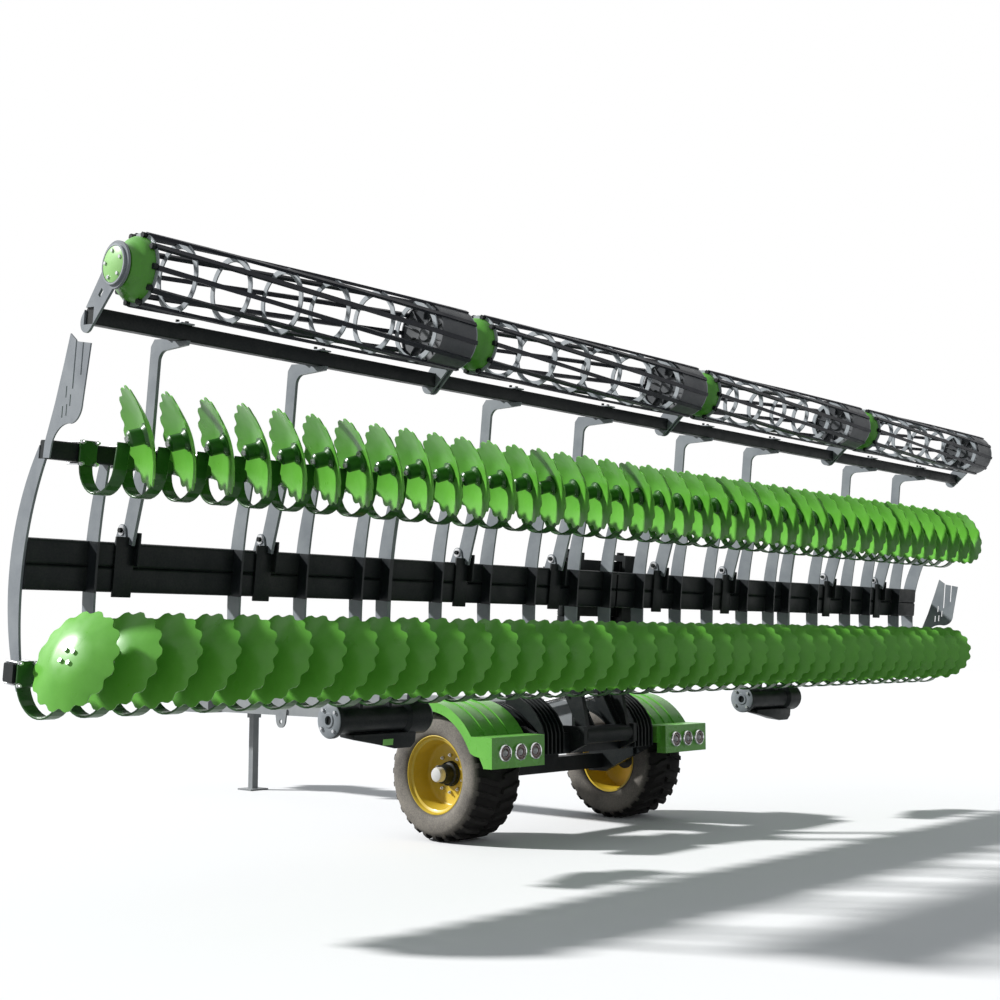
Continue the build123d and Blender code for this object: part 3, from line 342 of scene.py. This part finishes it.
def disc_place(x, length, way):
    """Place of one disc: its axis points out of the open side."""
    cut, lean = disc_angles[way]
    axis = Vector((way * math.cos(lean) * math.cos(cut), math.cos(lean) * math.sin(cut), -math.sin(lean)))
    across = upright.to_3x3() @ Vector((0, 1, 0))
    across = (across - axis * across.dot(axis)).normalized()
    turn = Matrix((across, axis.cross(across), axis)).transposed().to_4x4()
    return Matrix.Translation(upright @ Vector((x, 0, length))) @ turn


def disc_spots(sign):
    """Each disc of one wing: its place across, its place up the frame and its way."""
    spots = [(start + number * pitch_of_discs, length, way) for start, length, way in rows
             for number in range(discs_in_row)]
    return [spot for spot in spots if (spot[0] - wing_split) * sign > 0]


def disc_blank():
    """One disc about Z: rings bridged from the flat middle to the scalloped rim, then given its thickness."""
    bm = bmesh.new()
    rings = []
    for share in (0, 0.3, 0.62, 0.86, 1):
        radius = disc_flat + (disc_radius - disc_flat) * share
        height = disc_dish * (share ** 1.18 - 1)
        verts = bmesh.ops.create_circle(bm, segments=128, radius=radius, cap_ends=(share == 0),
                                        matrix=Matrix.Translation((0, 0, height)))["verts"]
        if share > 0.8:
            for vert in verts:
                off = abs(math.atan2(vert.co.y, vert.co.x) * notches / (2 * math.pi) % 1 - 0.5)
                dip = max(0, math.cos(math.pi * off / notch_share)) ** 1.3 if off < notch_share / 2 else 0
                bite = notch_depth * dip * (1 if share == 1 else 0.25)
                vert.co *= 1 - bite / radius
                vert.co.z = height - bite * 0.33
        rings.append(edges_of(verts))
    for inner, outer in zip(rings, rings[1:]):
        bmesh.ops.bridge_loops(bm, edges=inner + outer)
    bmesh.ops.recalc_face_normals(bm, faces=bm.faces)
    if sum(f.normal.z for f in bm.faces) > 0:
        bmesh.ops.reverse_faces(bm, faces=bm.faces)
    bmesh.ops.solidify(bm, geom=list(bm.faces), thickness=disc_thick)
    return mesh_of(bm, "disc blank")


def added(bm, mesh, place):
    """Adds a copy of a mesh to a bmesh at a place."""
    before = len(bm.verts)
    bm.from_mesh(mesh)
    bm.verts.ensure_lookup_table()
    bmesh.ops.transform(bm, matrix=place, verts=bm.verts[before:])


disc_green = painted("leaf green disc paint", (0.150, 0.49, 0.052), (0.120, 0.42, 0.040), 0.34, 0.03,
                     coat=0.12, shine=0.3)
disc = disc_blank()
for side, sign in sides:
    bm = bmesh.new()
    for spot in disc_spots(sign):
        added(bm, disc, disc_place(*spot))
    finished(f"notched_discs_{side}", bm, disc_green, f"wing_{side}", "green_discs", f"discs_{side}",
             smooth=50)


# Hubs and spring arms: each disc's hub hangs on a flat spring of dark green steel that
# is bent into an open loop and clamped on the toolbar by a pad with two U-bolts. The
# fasteners are zinc plated.
spring_turn, spring_side, spring_steps = 0.135, -0.110, 14
spring_half_wide, spring_half_thick, spring_round = 0.040, 0.006, 0.003
hub_seat, hub_length = disc_thick - disc_dish, 0.108
pad_thick, ubolt_past, ubolt_radius = 0.014, 0.008, 0.007


def swept(bm, outline, places):
    """Carries an outline through a row of places with the extrude operator."""
    face = bm.faces.new([bm.verts.new(places[0] @ Vector((x, y, 0))) for x, y in outline])
    for before, after in zip(places, places[1:]):
        grown = bmesh.ops.extrude_face_region(bm, geom=[face])["geom"]
        face = next(item for item in grown if isinstance(item, bmesh.types.BMFace))
        bmesh.ops.transform(bm, matrix=after @ before.inverted(), verts=face.verts)


def spring_blank(way):
    """One spring in frame space for a disc at x = 0 and length = 0."""
    bm = bmesh.new()
    face_y = bar_face - spring_half_thick
    turn_z = -bar_drop - bar_size / 2 - 0.030
    turn_y = face_y - spring_turn
    hub_end = upright.inverted() @ (disc_place(0, 0, way) @ Vector((0, 0, hub_seat + hub_length)))
    line = [(face_y, -bar_drop + bar_size / 2 + 0.012, 0.0, 90.0), (face_y, -bar_drop, 0.0, 90.0)]
    for step in range(spring_steps + 1):
        angle = step * 180 / spring_steps
        line.append((turn_y + spring_turn * math.cos(math.radians(angle)),
                     turn_z - spring_turn * math.sin(math.radians(angle)), angle / 270, 90 - angle))
    line.append((hub_end.y + 0.032, hub_end.z - 0.018, 1.0, -90.0))
    places = []
    for y, z, share, lie in line:
        turn = math.radians(lie)
        along = Vector((0, -math.cos(turn), -math.sin(turn)))
        wide = Vector((1, 0, 0))
        basis = Matrix((wide, along.cross(wide), along)).transposed().to_4x4()
        places.append(Matrix.Translation((spring_side + share * (hub_end.x - spring_side), y, z)) @ basis)
    quarter = [(spring_half_wide, 0.002), (spring_half_wide - spring_round, spring_half_thick)]
    half = quarter + [(-x, y) for x, y in reversed(quarter)]
    swept(bm, half + [(-x, -y) for x, y in half], places)
    return mesh_of(bm, "spring blank")


def stud(bm, place, base, tip, depth, segments=6):
    """A capped cone about Z with its middle at a place: a bolt head, a nut, or a step of a hub."""
    bmesh.ops.create_cone(bm, cap_ends=True, segments=segments, radius1=base, radius2=tip, depth=depth,
                          matrix=place)


def round_bar(bm, start, end, radius, segments):
    """A round bar between two points."""
    start, end = Vector(start), Vector(end)
    turn = (end - start).to_track_quat("Z", "Y").to_matrix().to_4x4()
    stud(bm, Matrix.Translation((start + end) / 2) @ turn, radius, radius, (end - start).length, segments)


def rounded_box(bm, middle, size, corner, segments, place=Matrix()):
    """A box with bevelled edges, from its middle and size, then put in place."""
    matrix = place @ Matrix.Translation(middle) @ Matrix.Diagonal((*size, 1))
    bevelled(bm, edges_of(bmesh.ops.create_cube(bm, size=1, matrix=matrix)["verts"]), corner, segments)


def hub_blank():
    """Mounting plate, step, hub and bearing cap about the disc's axis, from (height, wide, narrow) steps."""
    bm = bmesh.new()
    low = 0
    for high, wide, narrow in ((0.012, 0.066, 0.066), (0.030, 0.060, 0.046), (0.096, 0.046, 0.046),
                               (hub_length, 0.046, 0.034)):
        stud(bm, Matrix.Translation((0, 0, hub_seat + (low + high) / 2)), wide, narrow, high - low, 20)
        low = high
    return mesh_of(bm, "hub blank")


def bolts_blank():
    """Four bolt heads on the dish's back, the nuts on its open side, and the hub's end bolt."""
    bm = bmesh.new()
    for across in (-0.030, 0.030):
        for along in (-0.030, 0.030):
            round_bar(bm, (across, along, -disc_dish - 0.012), (across, along, -disc_dish), 0.0125, 6)
            round_bar(bm, (across, along, -disc_dish + 0.018), (across, along, -disc_dish + 0.030), 0.0115, 6)
    end = hub_seat + hub_length
    round_bar(bm, (0, 0, end), (0, 0, end + 0.014), 0.017, 6)
    return mesh_of(bm, "bolts blank")


def clamp_blank():
    """Pad on the spring's foot in frame space, for a disc at x = 0 and length = 0."""
    bm = bmesh.new()
    middle = (spring_side, bar_face - 2 * spring_half_thick - pad_thick / 2, -bar_drop)
    rounded_box(bm, middle, (0.104, pad_thick, 0.136), 0.003, 1)
    return mesh_of(bm, "clamp blank")


def ubolt_blank():
    """Two U-bolts round the toolbar with their nuts on the pad."""
    bm = bmesh.new()
    pad = bar_face - 2 * spring_half_thick - pad_thick
    back = bar_face + bar_size + ubolt_past
    for across in (spring_side - 0.043, spring_side + 0.043):
        for height in (-bar_drop - 0.058, -bar_drop + 0.058):
            round_bar(bm, (across, pad - 0.030, height), (across, back, height), ubolt_radius, 8)
            round_bar(bm, (across, pad - 0.013, height), (across, pad, height), 0.0125, 6)
        round_bar(bm, (across, back, -bar_drop - 0.064), (across, back, -bar_drop + 0.064), ubolt_radius, 8)
    return mesh_of(bm, "ubolt blank")


spring_green = painted("dark green spring paint", (0.020, 0.110, 0.012), (0.013, 0.080, 0.008), 0.32, 0.03,
                       coat=0.10, shine=0.35)
steel = painted("zinc plated steel", (0.62, 0.63, 0.64), (0.42, 0.43, 0.45), 0.35, 0.10, metallic=0.9)
hub, bolts, clamp, ubolt = hub_blank(), bolts_blank(), clamp_blank(), ubolt_blank()
springs = {way: spring_blank(way) for way in (1, -1)}
for side, sign in sides:
    arms, fasteners = bmesh.new(), bmesh.new()
    for x, length, way in disc_spots(sign):
        here, on_disc = upright @ Matrix.Translation((x, 0, length)), disc_place(x, length, way)
        for bm, blank, place in ((arms, springs[way], here), (arms, clamp, here), (arms, hub, on_disc),
                                 (fasteners, bolts, on_disc), (fasteners, ubolt, here)):
            added(bm, blank, place)
    finished(f"springs_{side}", arms, spring_green, f"wing_{side}", "green_arms", f"spring_arms_{side}")
    finished(f"disc_bolts_{side}", fasteners, steel, f"wing_{side}", "grey_ribs")


# The cage rollers: ten dark flat bars wound part of a turn round pale steel rings. The
# left end hangs on a green flared can, the right end is a short closed drum with a
# ribbed cone inside it. Black bolts hold the bars at both ends.
roller_half, roller_gap, roller_shift = 1.22, 0.070, 0.010
roller_axis = (-0.094, 2.030)
bar_seat, bar_high, bar_wide, bar_count, bar_steps = 0.191, 0.018, 0.026, 10, 20
bar_start, bar_wind = 92, 42
ring_count, ring_deep, ring_wide, ring_round = 6, 0.036, 0.008, 0.002
drum_length, can_length, shaft_radius = 0.300, 0.110, 0.025


def spun(bm, profile, steps, place=None):
    """Turns a closed profile of (radius, height) points about Z, then puts it in place."""
    verts = [bm.verts.new((radius, 0, height)) for radius, height in profile]
    edges = [bm.edges.new(pair) for pair in zip(verts, verts[1:] + verts[:1])]
    before = set(bm.verts) - set(verts)
    bmesh.ops.spin(bm, geom=verts + edges, axis=(0, 0, 1), cent=(0, 0, 0), steps=steps, angle=2 * math.pi,
                   use_merge=True)
    if place:
        bmesh.ops.transform(bm, matrix=place, verts=[v for v in bm.verts if v not in before])


def sideways(way):
    """Turns Z to the right for 1, and to the left for -1."""
    return Matrix.Rotation(math.radians(90 * way), 4, "Y")


def on_circle(place, count, radius, height, start=0):
    """Places spread evenly on a circle about Z."""
    return [place @ Matrix.Rotation(math.radians(360 / count * number + start), 4, "Z")
            @ Matrix.Translation((radius, 0, height)) for number in range(count)]


def roller_middle(number):
    """Middle of a roller, numbered from the left."""
    return (number - 2.5) * (2 * roller_half + roller_gap) + roller_shift


bar_paint = painted("dark roller paint", (0.012, 0.015, 0.024), (0.006, 0.008, 0.013), 0.40, 0.04, shine=0.2)
ring_paint = painted("pale ring paint", (0.38, 0.41, 0.43), (0.29, 0.32, 0.34), 0.38, 0.06, shine=0.3)
drum_paint = painted("drum steel", (0.075, 0.082, 0.090), (0.045, 0.050, 0.056), 0.42, 0.06, shine=0.3)
can_green = painted("green can paint", (0.100, 0.38, 0.035), (0.075, 0.30, 0.025), 0.34, 0.03, coat=0.1,
                    shine=0.3)
bar_outline = [(-bar_high / 2, -bar_wide / 2), (bar_high / 2, -bar_wide / 2),
               (bar_high / 2, bar_wide / 2), (-bar_high / 2, bar_wide / 2)]
ring_half = [(bar_seat - ring_deep, ring_round), (bar_seat - ring_deep + ring_round, 0),
             (bar_seat - ring_round, 0), (bar_seat, ring_round)]
ring_profile = ring_half + [(radius, ring_wide - height) for radius, height in reversed(ring_half)]
fin_outline = [(0.0, -0.003), (0.0, 0.003), (0.090, 0.003), (0.090, -0.003)]
length = 2 * roller_half
drum_low, drum_wall, end_plate = length - drum_length, bar_seat - 0.008, length - ring_wide
for number in (1, 2, 3, 4):
    left = upright @ Matrix.Translation((roller_middle(number) - roller_half, *roller_axis)) @ sideways(1)
    bars, rings, drum, can, bar_bolts = (bmesh.new() for _ in range(5))
    shares = [step / bar_steps for step in range(bar_steps + 1)]
    for line in zip(*(on_circle(left, bar_count, bar_seat, can_length + (length - can_length) * share,
                                bar_start + bar_wind * share) for share in shares)):
        swept(bars, bar_outline, line)
    for ring in range(1, ring_count + 1):
        low = ring * end_plate / (ring_count + 1)
        spun(rings, [(radius, low + height) for radius, height in ring_profile], 48, left)
    for low in (can_length, end_plate):
        spun(rings, [(shaft_radius, low), (bar_seat, low), (bar_seat, low + ring_wide),
                     (shaft_radius, low + ring_wide)], 48, left)
    for end in (0, length):
        stud(rings, left @ Matrix.Translation((0, 0, end)), shaft_radius, shaft_radius, 0.040, 24)
    spun(drum, [(drum_wall, drum_low), (bar_seat, drum_low), (bar_seat, end_plate), (drum_wall, end_plate)],
         48, left)
    spun(drum, [(radius, drum_low + height) for radius, height in (
        (0, 0.020), (0.045, 0.020), (0.055, 0.032), (0.080, 0.036), (0.172, 0.012), (drum_wall, 0.012),
        (drum_wall, 0.020), (0.080, 0.060), (0, 0.060))], 48, left)
    for fin in zip(*(on_circle(left, 10, 0.085, drum_low + height) for height in (0.004, 0.030))):
        swept(drum, fin_outline, fin)
    spun(can, [(0.030, 0.002), (0.110, 0.002), (0.116, 0.006), (0.120, 0.030), (0.138, 0.052), (0.156, 0.062),
               (0.168, 0.080), (0.172, can_length - 0.001), (0.030, can_length - 0.001)], 48, left)
    for height, spread, thick in ((can_length - 0.012, 0.181, 0.017), (length - 0.005, 0.160, 0.012)):
        for spot in on_circle(left, bar_count, spread, height, 18):
            stud(bar_bolts, spot, thick, thick, 0.024)
    roller = f"cage_roller_{number}"
    finished(f"roller_bars_{number}", bars, bar_paint, roller, "roller_steel", roller)
    finished(f"roller_rings_{number}", rings, ring_paint, roller, "roller_steel", roller)
    finished(f"roller_drum_{number}", drum, drum_paint, roller, "roller_steel", roller)
    finished(f"roller_can_{number}", can, can_green, roller, "green_fender", roller)
    finished(f"roller_bolts_{number}", bar_bolts, black_paint, roller, "roller_steel")


# Roller arms' bearings: a round green steel cap with a pale rim closes each bearing on
# its arm, held by five zinc plated bolts.
cap_green = painted("pale green cap paint", (0.34, 0.66, 0.22), (0.28, 0.58, 0.17), 0.34, 0.03, coat=0.1,
                    shine=0.3)
cap_face = 0.030
cap_disc = [(0, -0.001), (0.094, -0.001), (0.094, 0.003), (0.090, 0.005), (0, 0.005)]
cap_rim = [(0.095, -0.008), (0.106, -0.008), (0.107, 0.002), (0.104, 0.005), (0.096, 0.005)]
for side, numbers in (("left", (1, 2)), ("right", (3, 4))):
    caps, rims, cap_bolts = (bmesh.new() for _ in range(3))
    for number in numbers:
        for way in (-1, 1):
            face = roller_middle(number) + way * (roller_half + cap_face)
            seat = upright @ Matrix.Translation((face, *roller_axis)) @ sideways(way)
            spun(caps, cap_disc, 40, seat)
            spun(rims, cap_rim, 40, seat)
            for spot in on_circle(seat, 5, 0.072, 0.008, 10):
                stud(cap_bolts, spot, 0.011, 0.010, 0.008)
    finished(f"arm_caps_{side}", caps, cap_green, f"wing_{side}", "green_fender")
    finished(f"arm_cap_rims_{side}", rims, ring_paint, f"wing_{side}", "grey_ribs")
    finished(f"arm_bolts_{side}", cap_bolts, steel, f"wing_{side}", "grey_ribs")


# Struts and braces: a clamp plate with two bolts holds each strut on the carrier tube,
# and each brace ends in a round lug with a washer and a bolt, beside a black bracket of
# two welded blocks on the main beam.
strut_stations = (-17.72, -13.84, -6.96, -2.94, 2.2, 6.16, 13, 16.96)
lug_place, eye_place = (0.526, 0.675), (0.205, 1.752)
bracket_blocks = (((-0.030, 0.46075, 0.470), (0.120, 0.0175, 0.340)),
                  ((0.032, 0.43725, 0.574), (0.016, 0.0645, 0.188)))
for side, sign in sides:
    plates, washers, black_bolts, brackets = (bmesh.new() for _ in range(4))
    for x in [station * pitch_of_discs for station in strut_stations if station * sign > 0]:
        for way in (-1, 1):
            lug = upright @ Matrix.Translation((x + way * 0.020, *lug_place)) @ sideways(way)
            spun(washers, [(0.010, 0), (0.030, 0), (0.030, 0.004), (0.010, 0.004)], 24, lug)
            stud(black_bolts, lug @ Matrix.Translation((0, 0, 0.010)), 0.017, 0.016, 0.014)
            eye = upright @ Matrix.Translation((x + way * 0.010, *eye_place)) @ sideways(way)
            stud(black_bolts, eye @ Matrix.Translation((0, 0, 0.006)), 0.014, 0.013, 0.012)
        at_strut = upright @ Matrix.Translation((x, 0, 0))
        for middle, size in bracket_blocks:
            rounded_box(brackets, middle, size, 0.004, 2, at_strut)
        rounded_box(plates, (0, 0.120, 1.8295), (0.090, 0.120, 0.009), 0.003, 2, at_strut)
        for across in (-0.030, 0.030):
            round_bar(black_bolts, at_strut @ Vector((across, 0.120, 1.832)),
                      at_strut @ Vector((across, 0.120, 1.850)), 0.011, 6)
    finished(f"beam_brackets_{side}", brackets, black_paint, f"wing_{side}", "black_frame")
    finished(f"clamp_plates_{side}", plates, ring_paint, f"wing_{side}", "grey_ribs")
    finished(f"lug_washers_{side}", washers, steel, f"wing_{side}", "grey_ribs")
    finished(f"black_bolts_{side}", black_bolts, black_paint, f"wing_{side}", "black_frame")


# Transverse housings: a grey flange with a centre hole and four bolts closes the left
# end of each, a folded black steel belly is welded under the barrel, and a blank green
# label is stuck on the left one's belly.
housing_half, belly_half = 0.425, 0.070
belly_outline = [(-0.090, -0.150), (-0.122, -0.150), (-0.165, -0.380), (-0.196, -0.520), (-0.196, -0.660),
                 (-0.160, -0.700), (-0.090, -0.700)]
flange_profile = [(0.030, 0), (0.112, 0), (0.112, 0.005), (0.108, 0.008), (0.050, 0.008), (0.044, 0.014),
                  (0.030, 0.014)]
label_place, label_high, label_wide, label_thick = (-0.149, -belly_half - 0.001, -0.450), 0.040, 0.090, 0.002
label_green = painted("bright label green", (0.33, 0.76, 0.19), (0.27, 0.68, 0.15), 0.38, 0.03, shine=0.3)


def plate(bm, points, thick):
    """A plate: a face through its corners, extruded by a vector."""
    face = bm.faces.new([bm.verts.new(point) for point in points])
    grown = bmesh.ops.extrude_face_region(bm, geom=[face])["geom"]
    bmesh.ops.translate(bm, vec=thick, verts=[v for v in grown if isinstance(v, bmesh.types.BMVert)])


for side, station in (("left", -10.1), ("right", 8.6)):
    left_end = station * pitch_of_discs - housing_half
    seat = upright @ Matrix.Translation((left_end, 0.360, -0.435)) @ sideways(-1)
    flange, flange_bolts, belly = (bmesh.new() for _ in range(3))
    spun(flange, flange_profile, 40, seat)
    for spot in on_circle(seat, 4, 0.083, 0.014, 45):
        stud(flange_bolts, spot, 0.013, 0.012, 0.014)
    plate(belly, [(down, -belly_half, along) for down, along in belly_outline], (0, 2 * belly_half, 0))
    bmesh.ops.recalc_face_normals(belly, faces=belly.faces)
    bevelled(belly, belly.edges[:], 0.008, 2)
    bmesh.ops.transform(belly, matrix=seat, verts=belly.verts)
    finished(f"housing_belly_{side}", belly, black_paint, f"wing_{side}", "black_frame")
    if side == "left":
        label = bmesh.new()
        stuck = seat @ Matrix.Translation(label_place) @ Matrix.Rotation(math.radians(90), 4, "X")
        bmesh.ops.create_grid(label, x_segments=1, y_segments=1, size=0.5,
                              matrix=stuck @ Matrix.Diagonal((label_high, label_wide, 1, 1)))
        bmesh.ops.solidify(label, geom=label.faces[:], thickness=label_thick)
        finished("housing_label", label, label_green, f"wing_{side}", "green_fender")
    finished(f"housing_flange_{side}", flange, grey_paint, f"wing_{side}", "grey_ribs")
    finished(f"housing_bolts_{side}", flange_bolts, steel, f"wing_{side}", "grey_ribs")


# Wheels: low wide implement tyres of dusty grey rubber with shoulder lugs, on deep
# yellow steel rims. The tyres carry painted shade in near black on the tread, lugs and
# beads, leaving only the sidewalls' outer band dusty grey. Ten nuts hold each rim on a
# black hub with a pale grease cap.
wheel_middle, tyre_radius, tyre_half, rim_radius = 1.03, 0.500, 0.250, 0.295
bead, lug_count, lug_slant = rim_radius - 0.015, 28, 0.10
rubber = painted("dusty tyre rubber with painted shade", (0.20, 0.185, 0.165), (0.13, 0.12, 0.108), 0.85, 0.70, peel=1.0,
                 tint=(0.33, 0.30, 0.25), shine=0.2)
tree = rubber.node_tree
surface = tree.nodes["Principled BSDF"]
# Painted shade: the rubber is mixed to near black everywhere but the sidewalls' outer band, so the tread,
# lugs and beads read as shaded.
apart = tree.nodes.new("ShaderNodeSeparateXYZ")
tree.links.new(tree.nodes.new("ShaderNodeTexCoord").outputs["Object"], apart.inputs[0])
off_middle = reckoned(tree, "ABSOLUTE", reckoned(tree, "SUBTRACT", apart.outputs["X"], axle.x))
off_wheel = reckoned(tree, "ABSOLUTE", reckoned(tree, "SUBTRACT", off_middle, wheel_middle))
paint = surface.inputs["Base Color"].links[0].from_socket
tree.links.new(mixed(tree, ranged(tree, off_wheel, 0.212, 0.238), (0.020, 0.019, 0.018), paint),
               surface.inputs["Base Color"])
rim_yellow = painted("yellow rim paint", (0.66, 0.47, 0.030), (0.52, 0.36, 0.020), 0.38, 0.14, coat=0.1,
                     shine=0.3)
pale_cap = painted("pale cap", (0.66, 0.66, 0.64), (0.50, 0.50, 0.49), 0.40, 0.08)
tyre_wall = [(bead, tyre_half - 0.045), (bead + 0.012, tyre_half - 0.030),
             (bead + 0.040, tyre_half - 0.010), (bead + 0.080, tyre_half - 0.001),
             (tyre_radius - 0.085, tyre_half - 0.002), (tyre_radius - 0.058, tyre_half - 0.016),
             (tyre_radius - 0.044, tyre_half - 0.036), (tyre_radius - 0.036, tyre_half - 0.070),
             (tyre_radius - 0.030, tyre_half - 0.130)]
tyre_profile = tyre_wall + [(radius, -out) for radius, out in reversed(tyre_wall)]
lug_outline = [(-0.020, -0.030), (0.020, -0.030), (0.017, 0.017), (-0.017, 0.017)]
lug_line = ((0, 0.017, 0.020, 0), (0.4, 0.017, 0.100, 0), (0.9, 0.018, 0.175, 0), (1, 0.045, 0.226, -30))
rim_profile = [(0.092, 0.030), (0.092, 0.046), (0.150, 0.050), (0.225, 0.044), (0.240, 0.052), (0.246, 0.066),
               (0.250, 0.120), (0.258, 0.170), (0.262, 0.196), (0.276, 0.204), (0.290, 0.208), (0.297, 0.216),
               (0.297, 0.224), (0.291, 0.226), (0.2795, 0.212), (0.2795, -0.205), (0.265, -0.205),
               (0.248, 0.020), (0.225, 0.030), (0.150, 0.036)]
hub_profile = [(0.046, 0.030), (0.096, 0.030), (0.096, 0.052), (0.090, 0.058), (0.090, 0.084), (0.074, 0.092),
               (0.070, 0.150), (0.062, 0.160), (0.046, 0.160)]
cap_profile = [(0.046, 0.158), (0.056, 0.158), (0.056, 0.200), (0.050, 0.211), (0.036, 0.215), (0, 0.216),
               (0, 0.2055), (0.046, 0.2055)]
for side, sign in sides:
    place = Matrix.Translation(axle + Vector((sign * wheel_middle, 0, 0))) @ sideways(sign)
    tyre, rim, hub_body, cap, nuts = (bmesh.new() for _ in range(5))
    spun(tyre, tyre_profile, 96)
    for number in range(lug_count):
        for way in (-1, 1):
            turn = 2 * math.pi * (number + (0.5 if way > 0 else 0)) / lug_count
            swept(tyre, lug_outline, [
                Matrix.Rotation(turn + share * lug_slant, 4, "Z")
                @ Matrix.Translation((tyre_radius - drop, 0, way * out))
                @ Matrix.Rotation(math.radians(-90), 4, "Z")
                @ Matrix.Rotation(math.radians(tip * way), 4, "X") for share, drop, out, tip in lug_line])
    bmesh.ops.transform(tyre, matrix=place, verts=tyre.verts)
    spun(rim, rim_profile, 96, place)
    spun(hub_body, hub_profile, 40, place)
    spun(cap, cap_profile, 32, place)
    for spot in on_circle(place, 10, 0.140, 0.056):
        stud(nuts, spot, 0.014, 0.013, 0.018)
        stud(nuts, spot @ Matrix.Translation((0, 0, 0.014)), 0.007, 0.006, 0.016, 10)
    finished(f"ribbed_tyre_{side}", tyre, rubber, f"wheel_{side}", "tyre_rubber", f"tyre_{side}", smooth=35)
    finished(f"dished_rim_{side}", rim, rim_yellow, f"wheel_{side}", "yellow_rim", f"rim_{side}")
    finished(f"hub_body_{side}", hub_body, black_paint, f"wheel_{side}", "black_frame", f"rim_{side}")
    finished(f"hub_cap_{side}", cap, pale_cap, f"wheel_{side}", "grey_ribs", f"rim_{side}")
    finished(f"wheel_nuts_{side}", nuts, steel, f"wheel_{side}", "grey_ribs")


# Fenders: bright green pressed sheet over the wheels. Each one's outer side skirt has a
# hollow lower edge and runs on into the light box as one plate.
fender_green = painted("bright green fender paint", (0.15, 0.50, 0.060), (0.12, 0.43, 0.045), 0.30, 0.05,
                       coat=0.15, shine=0.35)
skirt_radius, skirt_band, skirt_side, skirt_thick = 0.555, 0.072, 1.3305, 0.003
skirt_lower = [(-0.452, 0.190), (-0.490, 0.172), (-0.540, 0.164), (-0.600, 0.148), (-0.645, 0.115),
               (-0.670, 0.085)]
for side, sign in sides:
    sprayed(fender_green, f"fender_{side}")
    bm = bmesh.new()
    arc = [math.radians(angle) for angle in range(34, 64, 4)]
    outer, inner = ([(-radius * math.cos(angle), radius * math.sin(angle)) for angle in arc]
                    for radius in (skirt_radius, skirt_radius - skirt_band))
    outline = [(-0.670, 0.310), (-0.490, 0.310), *outer, *reversed(inner), *skirt_lower]
    plate(bm, [axle + Vector((sign * skirt_side, y, z)) for y, z in outline], (sign * skirt_thick, 0, 0))
    finished(f"fender_skirt_{side}", bm, fender_green, "chassis", "green_fender")


# Guards: black sheet folded over the ends of the cross beam, beside the knees, with six
# upright ribs welded on it.
guard_inner, guard_outer, guard_ribs, rib_step, rib_thick = 0.440, 0.676, 6, 0.046, 0.014
guard_back = [(-0.553, 0.150), (-0.553, 0.305), (-0.500, 0.350), (-0.420, 0.410), (-0.330, 0.475),
              (-0.200, 0.530)]
rib_front = [(-0.200, 0.600), (-0.340, 0.575), (-0.440, 0.520), (-0.520, 0.450), (-0.575, 0.370),
             (-0.595, 0.300), (-0.595, 0.150)]
sheet_front = [(y - 0.012, z + 0.008) for y, z in reversed(guard_back)]
guard_plates = [(guard_inner + rib_step * rib, rib_thick, rib_front) for rib in range(guard_ribs)]
guard_plates.append((guard_inner, guard_outer - guard_inner, sheet_front))
for side, sign in sides:
    bm = bmesh.new()
    for start, thick, front in guard_plates:
        corners = [axle + Vector((sign * start, y, z)) for y, z in guard_back + front]
        plate(bm, corners, (sign * thick, 0, 0))
    finished(f"ribbed_guard_{side}", bm, black_paint, "chassis", "black_frame")


# Lamps: three in each light box, each a dark red moulded lens with a pale centre, held
# in a chromed bezel on the box's rear face.
lamp_box, lamp_step, lamp_face, lamp_height = 1.045, 0.165, -0.670, 0.1975
lamp_red = painted("dark red lens", (0.10, 0.022, 0.016), (0.05, 0.012, 0.010), 0.12, 0.02, peel=0.2,
                   coat=0.7)
lamp_pale = painted("pale lens centre", (0.42, 0.42, 0.43), (0.26, 0.26, 0.27), 0.14, 0.02, peel=0.2,
                    coat=0.7)
chrome = painted("hard chrome", (0.80, 0.81, 0.82), (0.66, 0.67, 0.69), 0.16, 0.03, peel=0.1, metallic=1.0)
bezel_profile = [(0.052, 0), (0.064, 0), (0.064, 0.020), (0.061, 0.027), (0.056, 0.029), (0.053, 0.025),
                 (0.052, 0.014)]
lens_profile = [(0.0275, 0), (0.0515, 0), (0.0515, 0.015), (0.046, 0.021), (0.036, 0.023), (0.030, 0.021),
                (0.0275, 0.016)]
centre_profile = [(0, 0), (0.0270, 0), (0.0270, 0.017), (0.021, 0.024), (0.010, 0.028), (0, 0.029)]
for name, material, profile in (("lamp_bezels", chrome, bezel_profile),
                                ("lamp_lenses", lamp_red, lens_profile),
                                ("lamp_centres", lamp_pale, centre_profile)):
    bm = bmesh.new()
    for x in (-lamp_box, lamp_box):
        for step in (-1, 0, 1):
            face = axle + Vector((x + lamp_step * step, lamp_face, lamp_height))
            spun(bm, profile, 40, Matrix.Translation(face) @ Matrix.Rotation(math.radians(90), 4, "X"))
    finished(name, bm, material, "chassis", "lamp_glass", "lamps")


# Drawbar, stand and cylinders: the drawbar is a long box section and the stand a tube on
# a foot plate, both sprayed mid grey. The cylinders' rams are hard chromed.
drawbar_grey = painted("mid grey paint", (0.26, 0.28, 0.29), (0.20, 0.215, 0.225), 0.42, 0.12)
sprayed(drawbar_grey, "drawbar", "stand")
for side, sign in sides:
    sprayed(chrome, f"tilt_ram_{side}", f"fold_ram_{side}")
